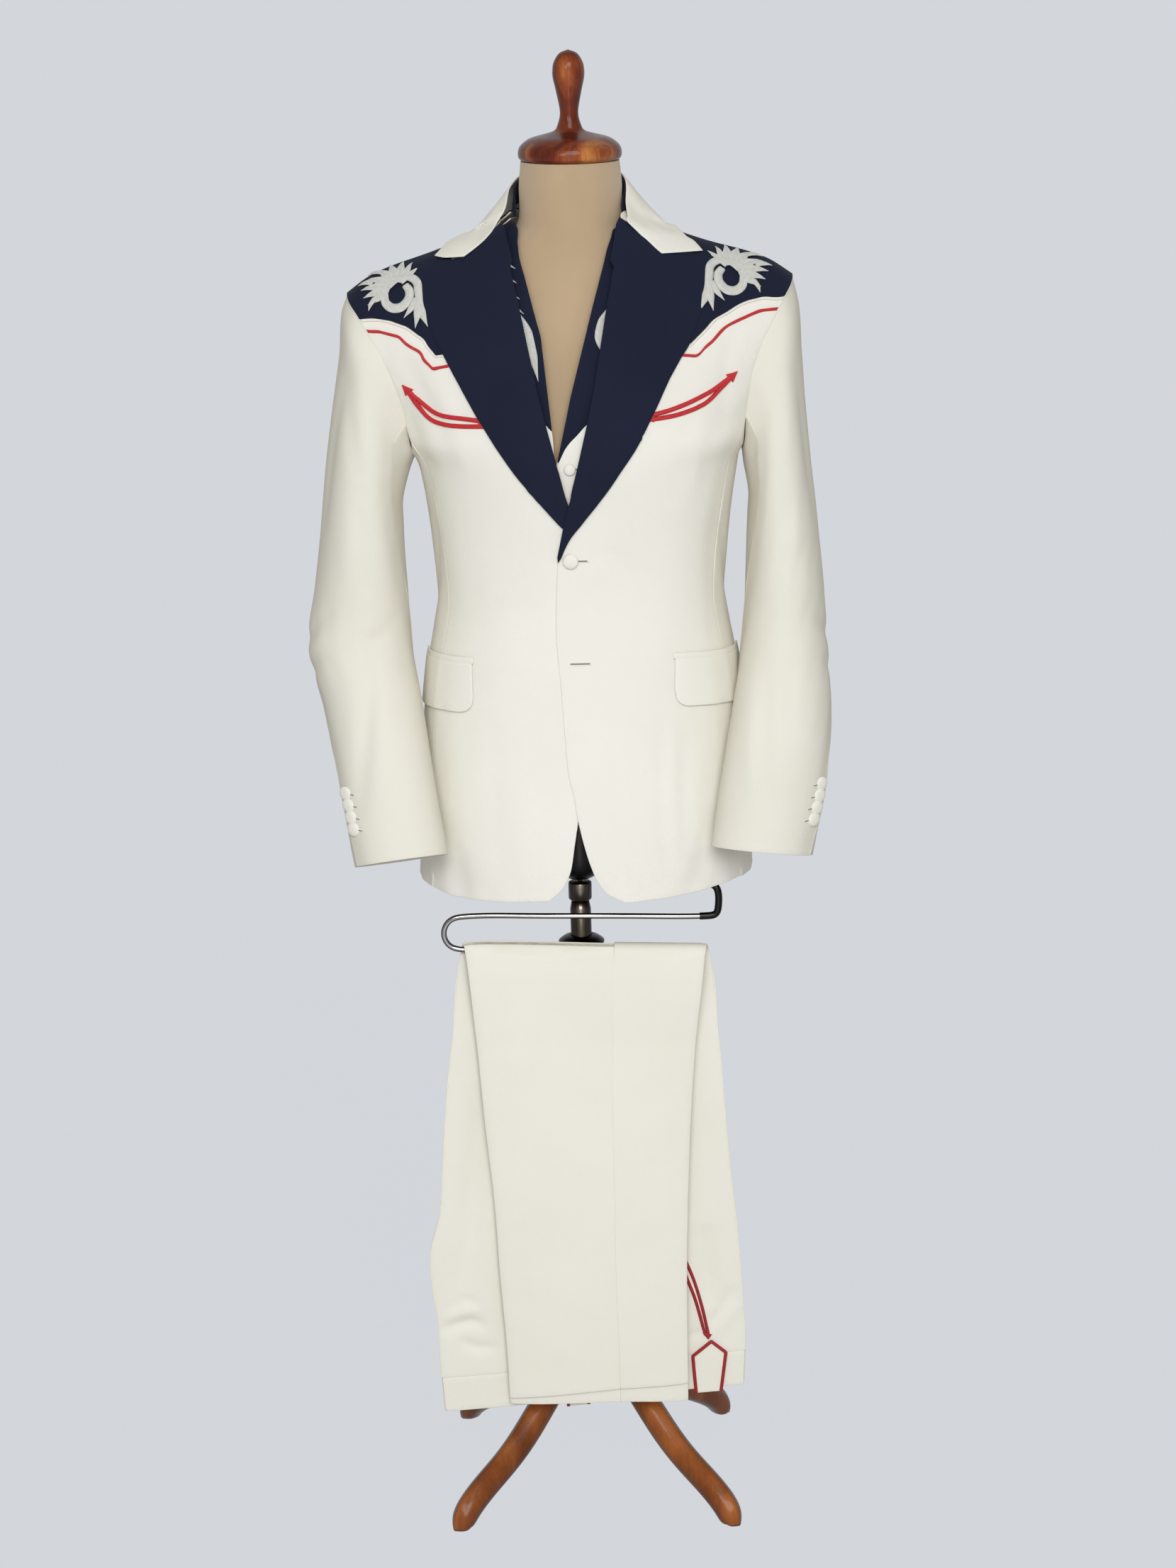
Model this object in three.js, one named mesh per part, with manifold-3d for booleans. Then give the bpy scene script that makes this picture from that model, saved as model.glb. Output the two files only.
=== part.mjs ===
// A western suit on its dress form and stand: jacket, waistcoat and trousers.
// Millimetres, +Z up, the garments face -Y, +X is to the right seen from the front.
// The origin is on the floor under the pole. Cloth is a thin wall; neck, cuffs, hems and armholes are open.
import * as THREE from 'three';
import { mergeVertices } from 'three/addons/utils/BufferGeometryUtils.js';
import Module from 'manifold-3d';

const wasm = await Module();
wasm.setup();

// ---------- driving dimensions ----------
const GAP = 0.3;            // between pieces that meet
const CLOTH = 1.6;          // wall of the wool cloth
const TRIM = 1.2;           // wall of yokes, piping and cords laid on a panel
const CORD = 3;             // width of the cream cord that edges the yokes
const PIPING = 3.3;         // width of the red piping
const POCKET_PIPING = 3.7;
const ARMPIT_Z = 1190;
const SEAM_DEPTH = 48;      // how far the side panel reaches forward and back from the side
const ROUND = 2.3;          // exponent of the plan sections
const LAP = 1.9;            // the wearer's left front lies this much over the right one
const UNDER_LAPEL = TRIM + 2 * GAP;
const NECK = { x: -2, y: 6, cut: 63.5 };
const FAR = 300;            // beyond the body, where the seams bound a piece

const HALF_TURN = Math.PI;
const rad = THREE.MathUtils.degToRad;
const V = (x, y, z) => new THREE.Vector3(x, y, z);

// Plan sections of the jacket, widest at the hem and the chest.
const BODY = table('z half front back', [
  [690, 187, 113, 114],
  [750, 184, 112, 111],
  [860, 179, 108, 104],
  [935, 173, 105, 97],
  [985, 166, 103, 91],
  [1035, 157.5, 102, 88],
  [1090, 160, 105, 92],
  [1150, 167, 112, 101],
  [1190, 174, 117, 108],
]);
// Height of the shoulder line over each half width; the first rows close over the neck.
const SHOULDER = table('x z', [
  [0, 1500], [30, 1492], [50, 1470], [65, 1450], [80, 1439], [100, 1430], [134, 1417],
  [165, 1406], [193, 1398], [218, 1387], [230, 1380], [238, 1372],
]);
// Half width of the armhole edge from the armpit, 0, to the shoulder tip, 1.
const ARMHOLE = table('t x', [
  [0, 177], [0.2, 181], [0.36, 186], [0.5, 194], [0.66, 208], [0.8, 221], [0.9, 231], [1, 238],
]);
const ARMHOLE_HALF_DEPTH = 60;
const SHOULDER_TILT = 0.024;   // the +X shoulder is the higher one
const LEAN = table('z x', [[1000, 3], [1150, 3], [1350, -3.5], [1500, -3]]);
const RIDGE_BACK = 6;          // the shoulder line lies a little behind the side seams

// ---------- tables and curves ----------
function table(names, rows) {
  const keys = names.split(' ');
  return rows.map((row) => Object.fromEntries(keys.map((key, i) => [key, row[i]])));
}

/** Value of a column at a place along another one, on a smooth curve that never overshoots. */
function along(rows, key, at, column) {
  const last = rows.length - 1;
  if (at <= rows[0][key]) return rows[0][column];
  if (at >= rows[last][key]) return rows[last][column];
  let i = 0;
  while (rows[i + 1][key] < at) i += 1;
  const slope = (a, b) => (rows[b][column] - rows[a][column]) / (rows[b][key] - rows[a][key]);
  const here = slope(i, i + 1);
  const blend = (other) => (other * here <= 0 ? 0 : (2 * other * here) / (other + here));
  const start = i > 0 ? blend(slope(i - 1, i)) : here;
  const end = i + 2 <= last ? blend(slope(i + 1, i + 2)) : here;
  const step = rows[i + 1][key] - rows[i][key];
  const s = (at - rows[i][key]) / step;
  return rows[i][column] * (1 + 2 * s) * (1 - s) ** 2 + rows[i + 1][column] * s * s * (3 - 2 * s)
    + step * (start * s * (1 - s) ** 2 - end * s * s * (1 - s));
}

const mix = (a, b, s) => a + (b - a) * s;
const smooth = (low, high, value) => THREE.MathUtils.smoothstep(value, low, high);

// ---------- solids from grids of points ----------
/** Closed solid between two grids of points, joined round their edges. */
function between(outer, inner, ring = false) {
  const rows = outer.length;
  const cols = outer[0].length;
  const points = [...outer.flat(), ...inner.flat()];
  const at = (side, i, j) => side * rows * cols + i * cols + (j % cols);
  const faces = [];
  const quad = (a, b, c, d) => faces.push(a, b, c, a, c, d);
  const spans = ring ? cols : cols - 1;
  for (let i = 0; i < rows - 1; i += 1) {
    for (let j = 0; j < spans; j += 1) {
      quad(at(0, i, j), at(0, i, j + 1), at(0, i + 1, j + 1), at(0, i + 1, j));
      quad(at(1, i, j), at(1, i + 1, j), at(1, i + 1, j + 1), at(1, i, j + 1));
    }
  }
  for (let j = 0; j < spans; j += 1) {
    quad(at(0, 0, j), at(1, 0, j), at(1, 0, j + 1), at(0, 0, j + 1));
    quad(at(0, rows - 1, j), at(0, rows - 1, j + 1), at(1, rows - 1, j + 1), at(1, rows - 1, j));
  }
  for (let i = 0; i < rows - 1 && !ring; i += 1) {
    quad(at(0, i, 0), at(0, i + 1, 0), at(1, i + 1, 0), at(1, i, 0));
    quad(at(0, i, cols - 1), at(1, i, cols - 1), at(1, i + 1, cols - 1), at(0, i + 1, cols - 1));
  }
  return facingOut(points, faces);
}

/** Solid inside rings of points, closed by a fan at both ends. */
function loft(rings) {
  const cols = rings[0].length;
  const points = rings.flat();
  const faces = [];
  for (let i = 0; i < rings.length - 1; i += 1) {
    for (let j = 0; j < cols; j += 1) {
      const a = i * cols + j;
      const b = i * cols + ((j + 1) % cols);
      faces.push(a, b, b + cols, a, b + cols, a + cols);
    }
  }
  for (const [first, turn] of [[0, false], [(rings.length - 1) * cols, true]]) {
    const middle = points.length;
    const ring = points.slice(first, first + cols);
    points.push(ring.reduce((sum, p) => sum.add(p), V(0, 0, 0)).divideScalar(cols));
    for (let j = 0; j < cols; j += 1) {
      const a = first + j;
      const b = first + ((j + 1) % cols);
      faces.push(middle, turn ? a : b, turn ? b : a);
    }
  }
  return facingOut(points, faces);
}

function facingOut(points, faces) {
  let volume = 0;
  for (let k = 0; k < faces.length; k += 3) {
    const [a, b, c] = [points[faces[k]], points[faces[k + 1]], points[faces[k + 2]]];
    volume += a.dot(b.clone().cross(c));
  }
  const index = volume > 0 ? faces : faces.slice().reverse();
  const geometry = new THREE.BufferGeometry();
  geometry.setAttribute('position', new THREE.Float32BufferAttribute(points.flatMap((p) => p.toArray()), 3));
  geometry.setIndex(index);
  return geometry;
}

/** Outward direction at each point of a grid whose columns turn to the right and rows go up. */
function outward(grid, ring = false) {
  const rows = grid.length;
  const cols = grid[0].length;
  const before = (j) => (ring ? (j + cols - 1) % cols : Math.max(j - 1, 0));
  const after = (j) => (ring ? (j + 1) % cols : Math.min(j + 1, cols - 1));
  return grid.map((row, i) => row.map((point, j) => {
    if (point.out) return point.out;
    const across = row[after(j)].clone().sub(row[before(j)]);
    const up = grid[Math.min(i + 1, rows - 1)][j].clone().sub(grid[Math.max(i - 1, 0)][j]);
    return across.cross(up).normalize();
  }));
}

/** The grid moved out by a distance, which may be a function of the point. */
function moved(grid, distance, ring = false) {
  const directions = outward(grid, ring);
  const reach = typeof distance === 'function' ? distance : () => distance;
  return grid.map((row, i) => row.map((p, j) => p.clone().addScaledVector(directions[i][j], reach(p))));
}

/** Cloth wall on a grid, from a low to a high distance above it. */
function wall(grid, low, high, ring = false) {
  return between(moved(grid, high, ring), moved(grid, low, ring), ring);
}

// ---------- cutting and joining ----------
function toManifold(geometry) {
  const bare = geometry.clone();
  for (const name of Object.keys(bare.attributes)) if (name !== 'position') bare.deleteAttribute(name);
  const merged = mergeVertices(bare, 1e-4);
  return new wasm.Manifold(new wasm.Mesh({
    numProp: 3,
    vertProperties: new Float32Array(merged.attributes.position.array),
    triVerts: new Uint32Array(merged.index.array),
  }));
}

function fromManifold(solid) {
  const { numProp, vertProperties, triVerts } = solid.getMesh();
  const geometry = new THREE.BufferGeometry();
  geometry.setAttribute('position', new THREE.BufferAttribute(Float32Array.from(vertProperties), numProp));
  geometry.setIndex(new THREE.BufferAttribute(Uint32Array.from(triVerts), 1));
  return geometry;
}

const PRISM_REACH = 170;
const RANGES = { front: [-PRISM_REACH, 30], back: [0, PRISM_REACH], both: [-PRISM_REACH, PRISM_REACH] };
/** Prism of a front-view outline, given across and up, through the front, the back or both. */
function prism(points, side = 'both') {
  const shape = new THREE.Shape(points.map(([x, z]) => new THREE.Vector2(x, z)));
  const [near, far] = RANGES[side];
  const geometry = new THREE.ExtrudeGeometry(shape, { depth: far - near, bevelEnabled: false });
  geometry.rotateX(HALF_TURN / 2);
  geometry.translate(0, far, 0);
  return toManifold(geometry);
}

const cutTo = (geometry, ...solids) => fromManifold(
  solids.reduce((rest, solid) => rest.intersect(solid), toManifold(geometry)),
);
const cutFrom = (geometry, ...solids) => fromManifold(
  solids.reduce((rest, solid) => rest.subtract(solid), toManifold(geometry)),
);

/** Points on a smooth curve through a few given ones. */
function curved(points, steps = 3) {
  const curve = new THREE.SplineCurve(points.map(([x, z]) => new THREE.Vector2(x, z)));
  return curve.getPoints(steps * (points.length - 1)).map((p) => [p.x, p.y]);
}

/** A line of points shifted sideways, to its left where the distance is positive. */
const beside = (points, distance) => points.map(([x, z], i) => {
  const [x0, z0] = points[Math.max(i - 1, 0)];
  const [x1, z1] = points[Math.min(i + 1, points.length - 1)];
  const length = Math.hypot(x1 - x0, z1 - z0);
  return [x - (distance * (z1 - z0)) / length, z + (distance * (x1 - x0)) / length];
});
/** Outline of a strip along a line of points, between two distances from it. */
const strip = (points, low, high) => [...beside(points, low), ...beside(points, high).reverse()];

// ---------- the jacket's body surface ----------
const lean = (z) => along(LEAN, 'z', z, 'x');
const shoulder = (x) => along(SHOULDER, 'x', Math.abs(x), 'z') + SHOULDER_TILT * x;
const armholeX = (t) => along(ARMHOLE, 't', t, 'x');
const armholeDepth = (t) => ARMHOLE_HALF_DEPTH * Math.sqrt(Math.max(0, 1 - (2 * t - 1) ** 2));
const armholeClimb = (d) => (1 - Math.sqrt(1 - (d / ARMHOLE_HALF_DEPTH) ** 2)) / 2;
const ridge = (z) => RIDGE_BACK * smooth(ARMPIT_Z, ARMPIT_Z + 180, z);
const climb = (x, z) => Math.min(1, Math.max(0, (z - ARMPIT_Z) / (shoulder(x) - ARMPIT_Z)));
const SIDES = {
  front: { sign: -1, column: 'front', chest: 117, curl: 2.3 },
  back: { sign: 1, column: 'back', chest: 108, curl: 3.3 },
};

/** Depth of the body in front of or behind its side line, at a part t of the way up to the shoulder. */
function depth(x, z, t, side) {
  const across = Math.abs(x);
  if (z <= ARMPIT_Z) {
    const part = Math.min(1, across / along(BODY, 'z', z, 'half'));
    return along(BODY, 'z', z, side.column) * (1 - part ** ROUND) ** (1 / 2.2);
  }
  const middle = side.chest * Math.sqrt(Math.max(0, 1 - t ** side.curl));
  const edge = Math.min(armholeDepth(t), middle);
  const part = Math.min(1, across / armholeX(t));
  return edge + (middle - edge) * (1 - part ** ROUND) ** (1 / (1 + 1.2 * Math.max(0, 1 - t / 0.25)));
}
const depthAt = (x, z, side) => depth(x, z, climb(x, z), side);

/** Half width where the body is a given depth forward of or behind its side line. */
function widthAt(z, wanted, side, turn) {
  let low = 0;
  let high = z <= ARMPIT_Z ? along(BODY, 'z', z, 'half') : armholeX(climb(turn * 200, z));
  for (let k = 0; k < 30; k += 1) {
    const middle = (low + high) / 2;
    if (depthAt(turn * middle, z, side) > wanted) low = middle;
    else high = middle;
  }
  return (low + high) / 2;
}

/** A point of the body with the direction that faces out of the cloth there. */
function bodyPoint(x, z, t, side) {
  const d = depth(x, z, t, side);
  const h = 0.5;
  const out = V(
    (depthAt(x - h, z, side) - depthAt(x + h, z, side)) / (2 * h),
    side.sign,
    (depthAt(x, z - h, side) - depthAt(x, z + h, side)) / (2 * h),
  );
  if (t > 0.99) out.set((shoulder(x - 1) - shoulder(x + 1)) / 2, 0, 1);
  if (z <= ARMPIT_Z && d < 1) out.set(Math.sign(x), 0, 0);
  const point = V(x + lean(z), side.sign * Math.max(d, GAP / 2) + ridge(z), z);
  point.out = out.normalize();
  return point;
}

const LEVELS = [696, 745, 820, 900, 968, 1035, 1090, 1145, ARMPIT_Z];
const CLIMBS = [0.1, 0.2, 0.38, 0.56, 0.72, 0.84, 0.93, 0.98, 1];
const SEAM_TOP = armholeClimb(SEAM_DEPTH);

/** Grid of points over the front or back, out to a seam a given depth from the side line. */
function bodyGrid(side, seamDepth, cols, levels = LEVELS, climbs = CLIMBS) {
  const spread = seamDepth ? 1.25 : 1.45;
  const places = Array.from({ length: cols + 1 }, (_, j) => Math.sin(((j / cols) * 2 - 1) * spread) / Math.sin(spread));
  const grid = levels.map((z) => places.map((place) => {
    const half = widthAt(z, seamDepth, side, Math.sign(place)) - (seamDepth ? GAP / 2 : 0);
    return bodyPoint(place * half, z, 0, side);
  }));
  for (const t of climbs) {
    grid.push(places.map((place) => {
      const turn = Math.sign(place) || 1;
      const edgeZ = mix(ARMPIT_Z, shoulder(turn * 200), t);
      const half = armholeDepth(t) > seamDepth || t >= SEAM_TOP ? armholeX(t) : widthAt(edgeZ, seamDepth, side, turn);
      const x = place * (half - GAP / 2);
      return bodyPoint(x, mix(ARMPIT_Z, shoulder(x), t), t, side);
    }));
  }
  return side.sign < 0 ? grid : grid.map((row) => row.reverse());
}

// Under the arm the side panel climbs to the armhole, highest at its seams.
const SIDE_SHARES = [1, 0.6, 0, -0.6, -1];
function sideGrid(turn) {
  const low = LEVELS.filter((z) => z < ARMPIT_Z);
  const last = low[low.length - 1];
  const heightAt = (t) => mix(ARMPIT_Z, shoulder(turn * 200), t);
  const rim = (share) => heightAt(armholeClimb(share * SEAM_DEPTH)) - GAP;
  const steps = [ARMPIT_Z, heightAt(0.1), rim(1)].map((z) => (z - last) / (rim(1) - last));
  const columns = SIDE_SHARES.map((share) => {
    const side = share < 0 ? SIDES.back : SIDES.front;
    return [...low, ...steps.map((s) => mix(last, rim(Math.abs(share)), s))].map((z) => {
      const wanted = Math.abs(share) * SEAM_DEPTH;
      if (wanted > 0) {
        const x = turn * widthAt(z, wanted - GAP / 2, side, turn);
        return bodyPoint(x, z, climb(x, z), side);
      }
      const point = V(turn * along(BODY, 'z', z, 'half') + lean(z), ridge(z), z);
      point.out = V(turn, 0, 0);
      return point;
    });
  });
  if (turn < 0) columns.reverse();
  return columns[0].map((_, i) => columns.map((column) => column[i]));
}

const frontGrid = bodyGrid(SIDES.front, SEAM_DEPTH, 10);
const backGrid = bodyGrid(SIDES.back, SEAM_DEPTH, 8);

/** Front and side grids joined below the armpit, for what is sewn across the side seam. */
function wrapGrid(turn) {
  const side = sideGrid(turn);
  return LEVELS.filter((z) => z < ARMPIT_Z).map((_, i) => (
    turn > 0 ? [...frontGrid[i], ...side[i].slice(0, 3)] : [...side[i].slice(2), ...frontGrid[i]]
  ));
}

// ---------- outlines in the front view, each point across and up ----------
const BREAK = [-9.7, 1145]; // where both lapels fold out
const RIGHT = {             // the side seen on the right, which laps over
  gorge: [54, 1441],
  roll: [[54, 1441], [36, 1355], [21, 1271], [3, 1194], BREAK],
  edge: [[-20.5, 1094], [-23, 1050], [-23.5, 1005], [-19.5, 948], [-14.3, 865], [-8.7, 838], [-5.4, 815]],
  foot: [-20.5, 1094],
  belly: [[-20.5, 1094], [-9.5, 1118], [19, 1154], [64, 1217.5], [98.7, 1285], [121, 1321]],
  peak: [152, 1401],
  notch: [94, 1409],
  tip: [131, 1408],
  quarter: [[-5.4, 815], [-1.2, 794], [4.6, 771], [11.5, 750], [18.5, 736], [28.3, 725], [46, 716.5]],
  hem: [[46, 716.5], [116, 720.6], [153, 726], [215, 733]],
  yoke: [[236, 1360], [218, 1359], [202, 1360.5], [189, 1358.5], [177, 1355], [161.5, 1347], [148, 1340], [140, 1332]],
  yokePoint: [[124, 1317.5], [112, 1318]],
  piping: [[228, 1349], [213.5, 1348.6], [200, 1348], [189, 1345], [173, 1339], [159, 1332], [145, 1318.5]],
  pipingPoint: [[128, 1305.6], [108, 1308]],
  pocket: {
    upper: [[169, 1282], [154.7, 1272.6], [140.4, 1265.2], [117, 1256], [96, 1250], [77, 1246.5]],
    lower: [[169, 1282], [152.2, 1266], [137.9, 1255], [119, 1248.2], [100.5, 1244.4], [77, 1242.4]],
  },
  flap: { inner: [102, 981], corner: 14, drop: 51, slope: -0.09, width: 70 },
};
const LEFT = {
  gorge: [-77, 1436],
  roll: [[-77, 1436], [-60, 1368], [-41, 1273], [-21.4, 1194], BREAK],
  edge: [[8, 1090], [9, 1005], [6, 948], [0, 865], [-3, 838], [-5.4, 815]],
  foot: [-13.9, 1129.5],
  belly: [[-13.9, 1129.5], [-25.5, 1142.4], [-63.4, 1188.7], [-100.3, 1245], [-130.5, 1301], [-142, 1323]],
  peak: [-170, 1393],
  notch: [-113.6, 1407.5],
  tip: [-144, 1404],
  quarter: [[-5.4, 815], [-6.3, 804], [-10.6, 777], [-13.3, 759], [-16.6, 747], [-24.6, 732], [-39, 719.5]],
  hem: [[-39, 719.5], [-90, 717], [-141, 717.5], [-166, 722], [-215, 731]],
  yoke: [[-240, 1342], [-225.7, 1344], [-210, 1345], [-196, 1343.6], [-180, 1339], [-169, 1332.5], [-159, 1325.5], [-155, 1319]],
  yokePoint: [[-146.5, 1309], [-128, 1312]],
  piping: [[-232, 1333], [-221, 1333.3], [-206.5, 1333.2], [-187, 1329], [-177, 1321], [-162, 1311.5], [-159, 1305.6]],
  pipingPoint: [[-149.5, 1296.3], [-122, 1302]],
  pocket: {
    upper: [[-179.5, 1273], [-169.3, 1263.8], [-159.7, 1256.2], [-151, 1250.4], [-140.3, 1246.8], [-121, 1245], [-97, 1243]],
    lower: [[-179.5, 1273], [-169.8, 1259.5], [-162, 1249], [-153, 1241.5], [-140.6, 1237.8], [-121, 1236.8], [-97, 1237.6]],
  },
  flap: { inner: [-116, 977.5], corner: 14, drop: 53, slope: -0.045, width: 64 },
};

/** One front: roll line, front edge, rounded quarter and hem, out past the side seam. */
function frontOutline(cut, turn) {
  return [
    ...curved(cut.roll, 2), ...curved(cut.edge, 2), ...curved(cut.quarter, 2).slice(1),
    ...curved(cut.hem, 1).slice(1), [turn * FAR, cut.hem.at(-1)[1]], [turn * FAR, 1520], [cut.gorge[0], 1520],
  ];
}

function lapelOutline(cut) {
  const middle = cut.roll.slice(0, -1);
  return [
    ...curved([...middle, BREAK], 2), ...(cut.foot ? [cut.foot] : []),
    ...curved(cut.belly, 2).slice(1), cut.peak, [cut.tip[0], cut.tip[1] - 2], [cut.notch[0], cut.notch[1] - 2],
  ];
}

const yokeEdge = (cut) => [...curved(cut.yoke, 1), ...cut.yokePoint];
const pipingLine = (cut) => [...curved(cut.piping, 1), ...cut.pipingPoint];

function yokeOutline(cut, turn) {
  const edge = beside(yokeEdge(cut), -turn * (CORD / 2 + GAP));
  return [...edge, [edge.at(-1)[0], 1520], [turn * FAR, 1520], [turn * FAR, edge[0][1]]];
}

// Sleeve rings from the armhole to the cuff. Middle x, y, z; half width and rise across,
// half depth, forward slope of the ring, and the angles of the back and fore seams.
const SLEEVE_NAMES = 'x y z half rise depth slope back fore';
const SLEEVE_LEFT = table(SLEEVE_NAMES, [
  [213.5, 5, 1265, 33.5, 88, 66, 0, -98, 126],
  [218.2, 5, 1234, 33.2, 74, 70, 0, -94, 130],
  [224.5, 4, 1198, 35.5, 56, 72, 0, -88, 135],
  [229.8, 3, 1152, 40.8, 34, 72, 0, -78, 143],
  [233.5, 0, 1098, 45.5, 16, 69, -0.02, -62, 156],
  [236.4, -4, 1040, 51.7, 8, 63, -0.08, -40, 172],
  [239.5, -15, 984, 58, 3, 56, -0.2, -14, 190],
  [227, -38, 930, 54.2, -3, 50, -0.34, 0, 200],
  [217, -62, 875, 52, -6, 45, -0.36, 10, 210],
  [208, -80, 820, 51.2, -7, 42, -0.32, 18, 218],
  [198, -96, 765, 51, -6.5, 39, -0.3, 24, 223],
]);
const SLEEVE_RIGHT = table(SLEEVE_NAMES, [
  [210.8, 5, 1264, 29.8, 88, 66, 0, -98, 126],
  [213.8, 5, 1234, 29.8, 74, 70, 0, -94, 130],
  [216.8, 4, 1198, 30.3, 56, 73, 0, -88, 135],
  [219.2, 2, 1152, 34.2, 34, 74, 0, -78, 143],
  [222, -4, 1098, 39, 16, 72, -0.05, -62, 156],
  [223.4, -15, 1040, 43.4, 8, 66, -0.16, -42, 172],
  [222.3, -32, 984, 47.8, 4, 59, -0.28, -22, 186],
  [219.1, -57, 930, 53.1, 0, 52, -0.38, -4, 198],
  [212.3, -79, 875, 56.2, -3, 46, -0.33, 8, 208],
  [204.3, -90, 822, 57.8, -5, 43, -0.24, 17, 217],
  [194.3, -99, 770, 55.7, -6.2, 40, -0.2, 24, 223],
]);

function sleevePoint(ring, angle, turn) {
  const across = Math.cos(angle);
  const forward = Math.sin(angle);
  return V(
    turn * (ring.x + ring.half * across),
    ring.y - ring.depth * forward,
    ring.z + ring.rise * across - ring.slope * ring.depth * forward,
  );
}

/** A point of the armhole edge, one gap outside the body's cloth. */
function armholeEdge(t, turn, sign) {
  const z = mix(ARMPIT_Z, shoulder(turn * armholeX(t)), t);
  return V(turn * (armholeX(t) + GAP) + lean(z), ridge(z) + sign * armholeDepth(t), z);
}

/** The sleeve starts from the armhole, on the straight runs between the rows of the body's grid. */
function armholePoint(angle, turn) {
  const t = (1 + Math.cos(angle)) / 2;
  const sign = Math.sin(angle) > 0 ? -1 : 1;
  const next = CLIMBS.findIndex((one) => one >= t);
  if (next < 2) return armholeEdge(t, turn, sign);
  const [low, high] = [CLIMBS[next - 1], CLIMBS[next]];
  return armholeEdge(low, turn, sign).lerp(armholeEdge(high, turn, sign), (t - low) / (high - low));
}

/** Grid of one sleeve piece, from the cuff up to the armhole, between two seams. */
function sleeveGrid(rings, turn, cols, from, to) {
  const place = (k, angle) => (k < 0 ? armholePoint(angle, turn) : sleevePoint(rings[k], angle, turn));
  const point = (k, angle) => {
    const p = place(k, angle);
    const across = place(k, angle - 0.02).sub(place(k, angle + 0.02)).multiplyScalar(turn);
    const up = place(Math.max(k - 1, -1), angle).sub(place(Math.min(k + 1, rings.length - 1), angle));
    p.out = across.cross(up).normalize();
    const t = (1 + Math.cos(angle)) / 2;
    if (k < 0) p.out.lerp(bodyEdgeOut(t, angle, turn), smooth(0.12, 0.4, t)).normalize();
    return p;
  };
  const rows = rings.map((_, k) => k).reverse().concat(-1);
  return rows.map((k) => {
    const ring = rings[Math.max(k, 0)];
    const margin = GAP / 2 / (k < 0 ? ARMHOLE_HALF_DEPTH : (ring.half + ring.depth) / 2);
    const row = Array.from({ length: cols + 1 }, (_, j) => (
      point(k, mix(rad(from(ring)) + margin, rad(to(ring)) - margin, j / cols))
    ));
    return turn > 0 ? row.reverse() : row;
  });
}

/** The way the body's cloth faces at its armhole edge, which the sleeve shares there. */
function bodyEdgeOut(t, angle, turn) {
  const side = Math.sin(angle) > 0 ? SIDES.front : SIDES.back;
  const x = turn * (armholeX(t) - GAP / 2);
  return bodyPoint(x, mix(ARMPIT_Z, shoulder(x), t), t, side).out;
}

// Collar stations from the notch round the back. Fold edge in space, then where the leaf edge lies on the body.
const COLLAR_NAMES = 'x y z leafX leafZ side bulge';
const COLLAR_RIGHT = table(COLLAR_NAMES, [
  [94, null, 1410, 130.5, 1409, 'front', 2.6],
  [76, null, 1424, 118, 1420.5, 'front', 3.2],
  [55, null, 1442, 108, 1429, 'front', 4],
  [57.5, -14, 1462, 101, 1434, 'front', 1],
  [57, 14, 1483, 95, 1434, 'back', 0],
  [44, 48, 1490, 70, 1441, 'back', 3],
  [22, 63, 1493, 38, 1445, 'back', 4],
]);
const COLLAR_LEFT = table(COLLAR_NAMES, [
  [-113.6, null, 1408.5, -143.5, 1405, 'front', 2.6],
  [-97, null, 1419, -131.7, 1415, 'front', 3.2],
  [-76, null, 1437, -119.6, 1422.5, 'front', 4],
  [-72, -14, 1452, -110, 1427, 'front', 1],
  [-64, 14, 1477, -99, 1430, 'back', 0],
  [-47, 48, 1488, -74, 1440, 'back', 3],
  [-23, 63, 1493, -39, 1445, 'back', 4],
]);
const COLLAR_MIDDLE = table(COLLAR_NAMES, [[0, 67, 1494, 0, 1446, 'back', 4]]);

/** A point lifted off the body, given across and up in the front or back view. */
function over(x, z, sideName, lift) {
  const side = SIDES[sideName];
  const inner = x - lean(z);
  const top = Math.min(z, shoulder(inner) - 0.5);
  const point = bodyPoint(inner, top, climb(inner, top), side);
  return point.addScaledVector(point.out, lift);
}

function collarGrid() {
  const stations = [...COLLAR_LEFT, ...COLLAR_MIDDLE, ...[...COLLAR_RIGHT].reverse()];
  const shares = [0, 0.35, 0.7, 1];
  return shares.map((share) => stations.map((station) => {
    const lift = station.side === 'front' ? UNDER_LAPEL + CLOTH + 3 * GAP : TRIM + 5 * GAP;
    if (station.y === null) {
      const rise = lift + station.bulge - 2.6;
      return over(mix(station.x, station.leafX, share), mix(station.z, station.leafZ, share), 'front', rise);
    }
    const leaf = over(station.leafX, station.leafZ, station.side, lift);
    const bulge = V(leaf.x, leaf.y, 60).normalize().multiplyScalar(station.bulge * 4 * share * (1 - share));
    return V(station.x, station.y, station.z).lerp(leaf, share).add(bulge);
  }));
}

/** The stand holds the collar up from the neck seam to the fold. */
function collarStandGrid() {
  const posts = [...COLLAR_LEFT.slice(3), ...COLLAR_MIDDLE, ...[...COLLAR_RIGHT.slice(3)].reverse()];
  const ring = (post, radius, z) => {
    const across = V(post.x - NECK.x, post.y - NECK.y, 0).setLength(radius);
    return V(NECK.x + across.x, NECK.y + across.y, z);
  };
  const top = posts.map((post) => ring(post, NECK.cut - 3.5, post.z - 6 * GAP));
  const foot = posts.map((post) => ring(post, NECK.cut - 1.5, post.y < 0 ? 1447 : mix(1450, 1464, Math.min(1, post.y / 60))));
  return [top, foot];
}

function neckCylinder(radius) {
  const geometry = new THREE.CylinderGeometry(radius, radius, 300, 32);
  geometry.rotateX(HALF_TURN / 2);
  geometry.translate(NECK.x, NECK.y, 1540);
  return toManifold(geometry);
}

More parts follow.
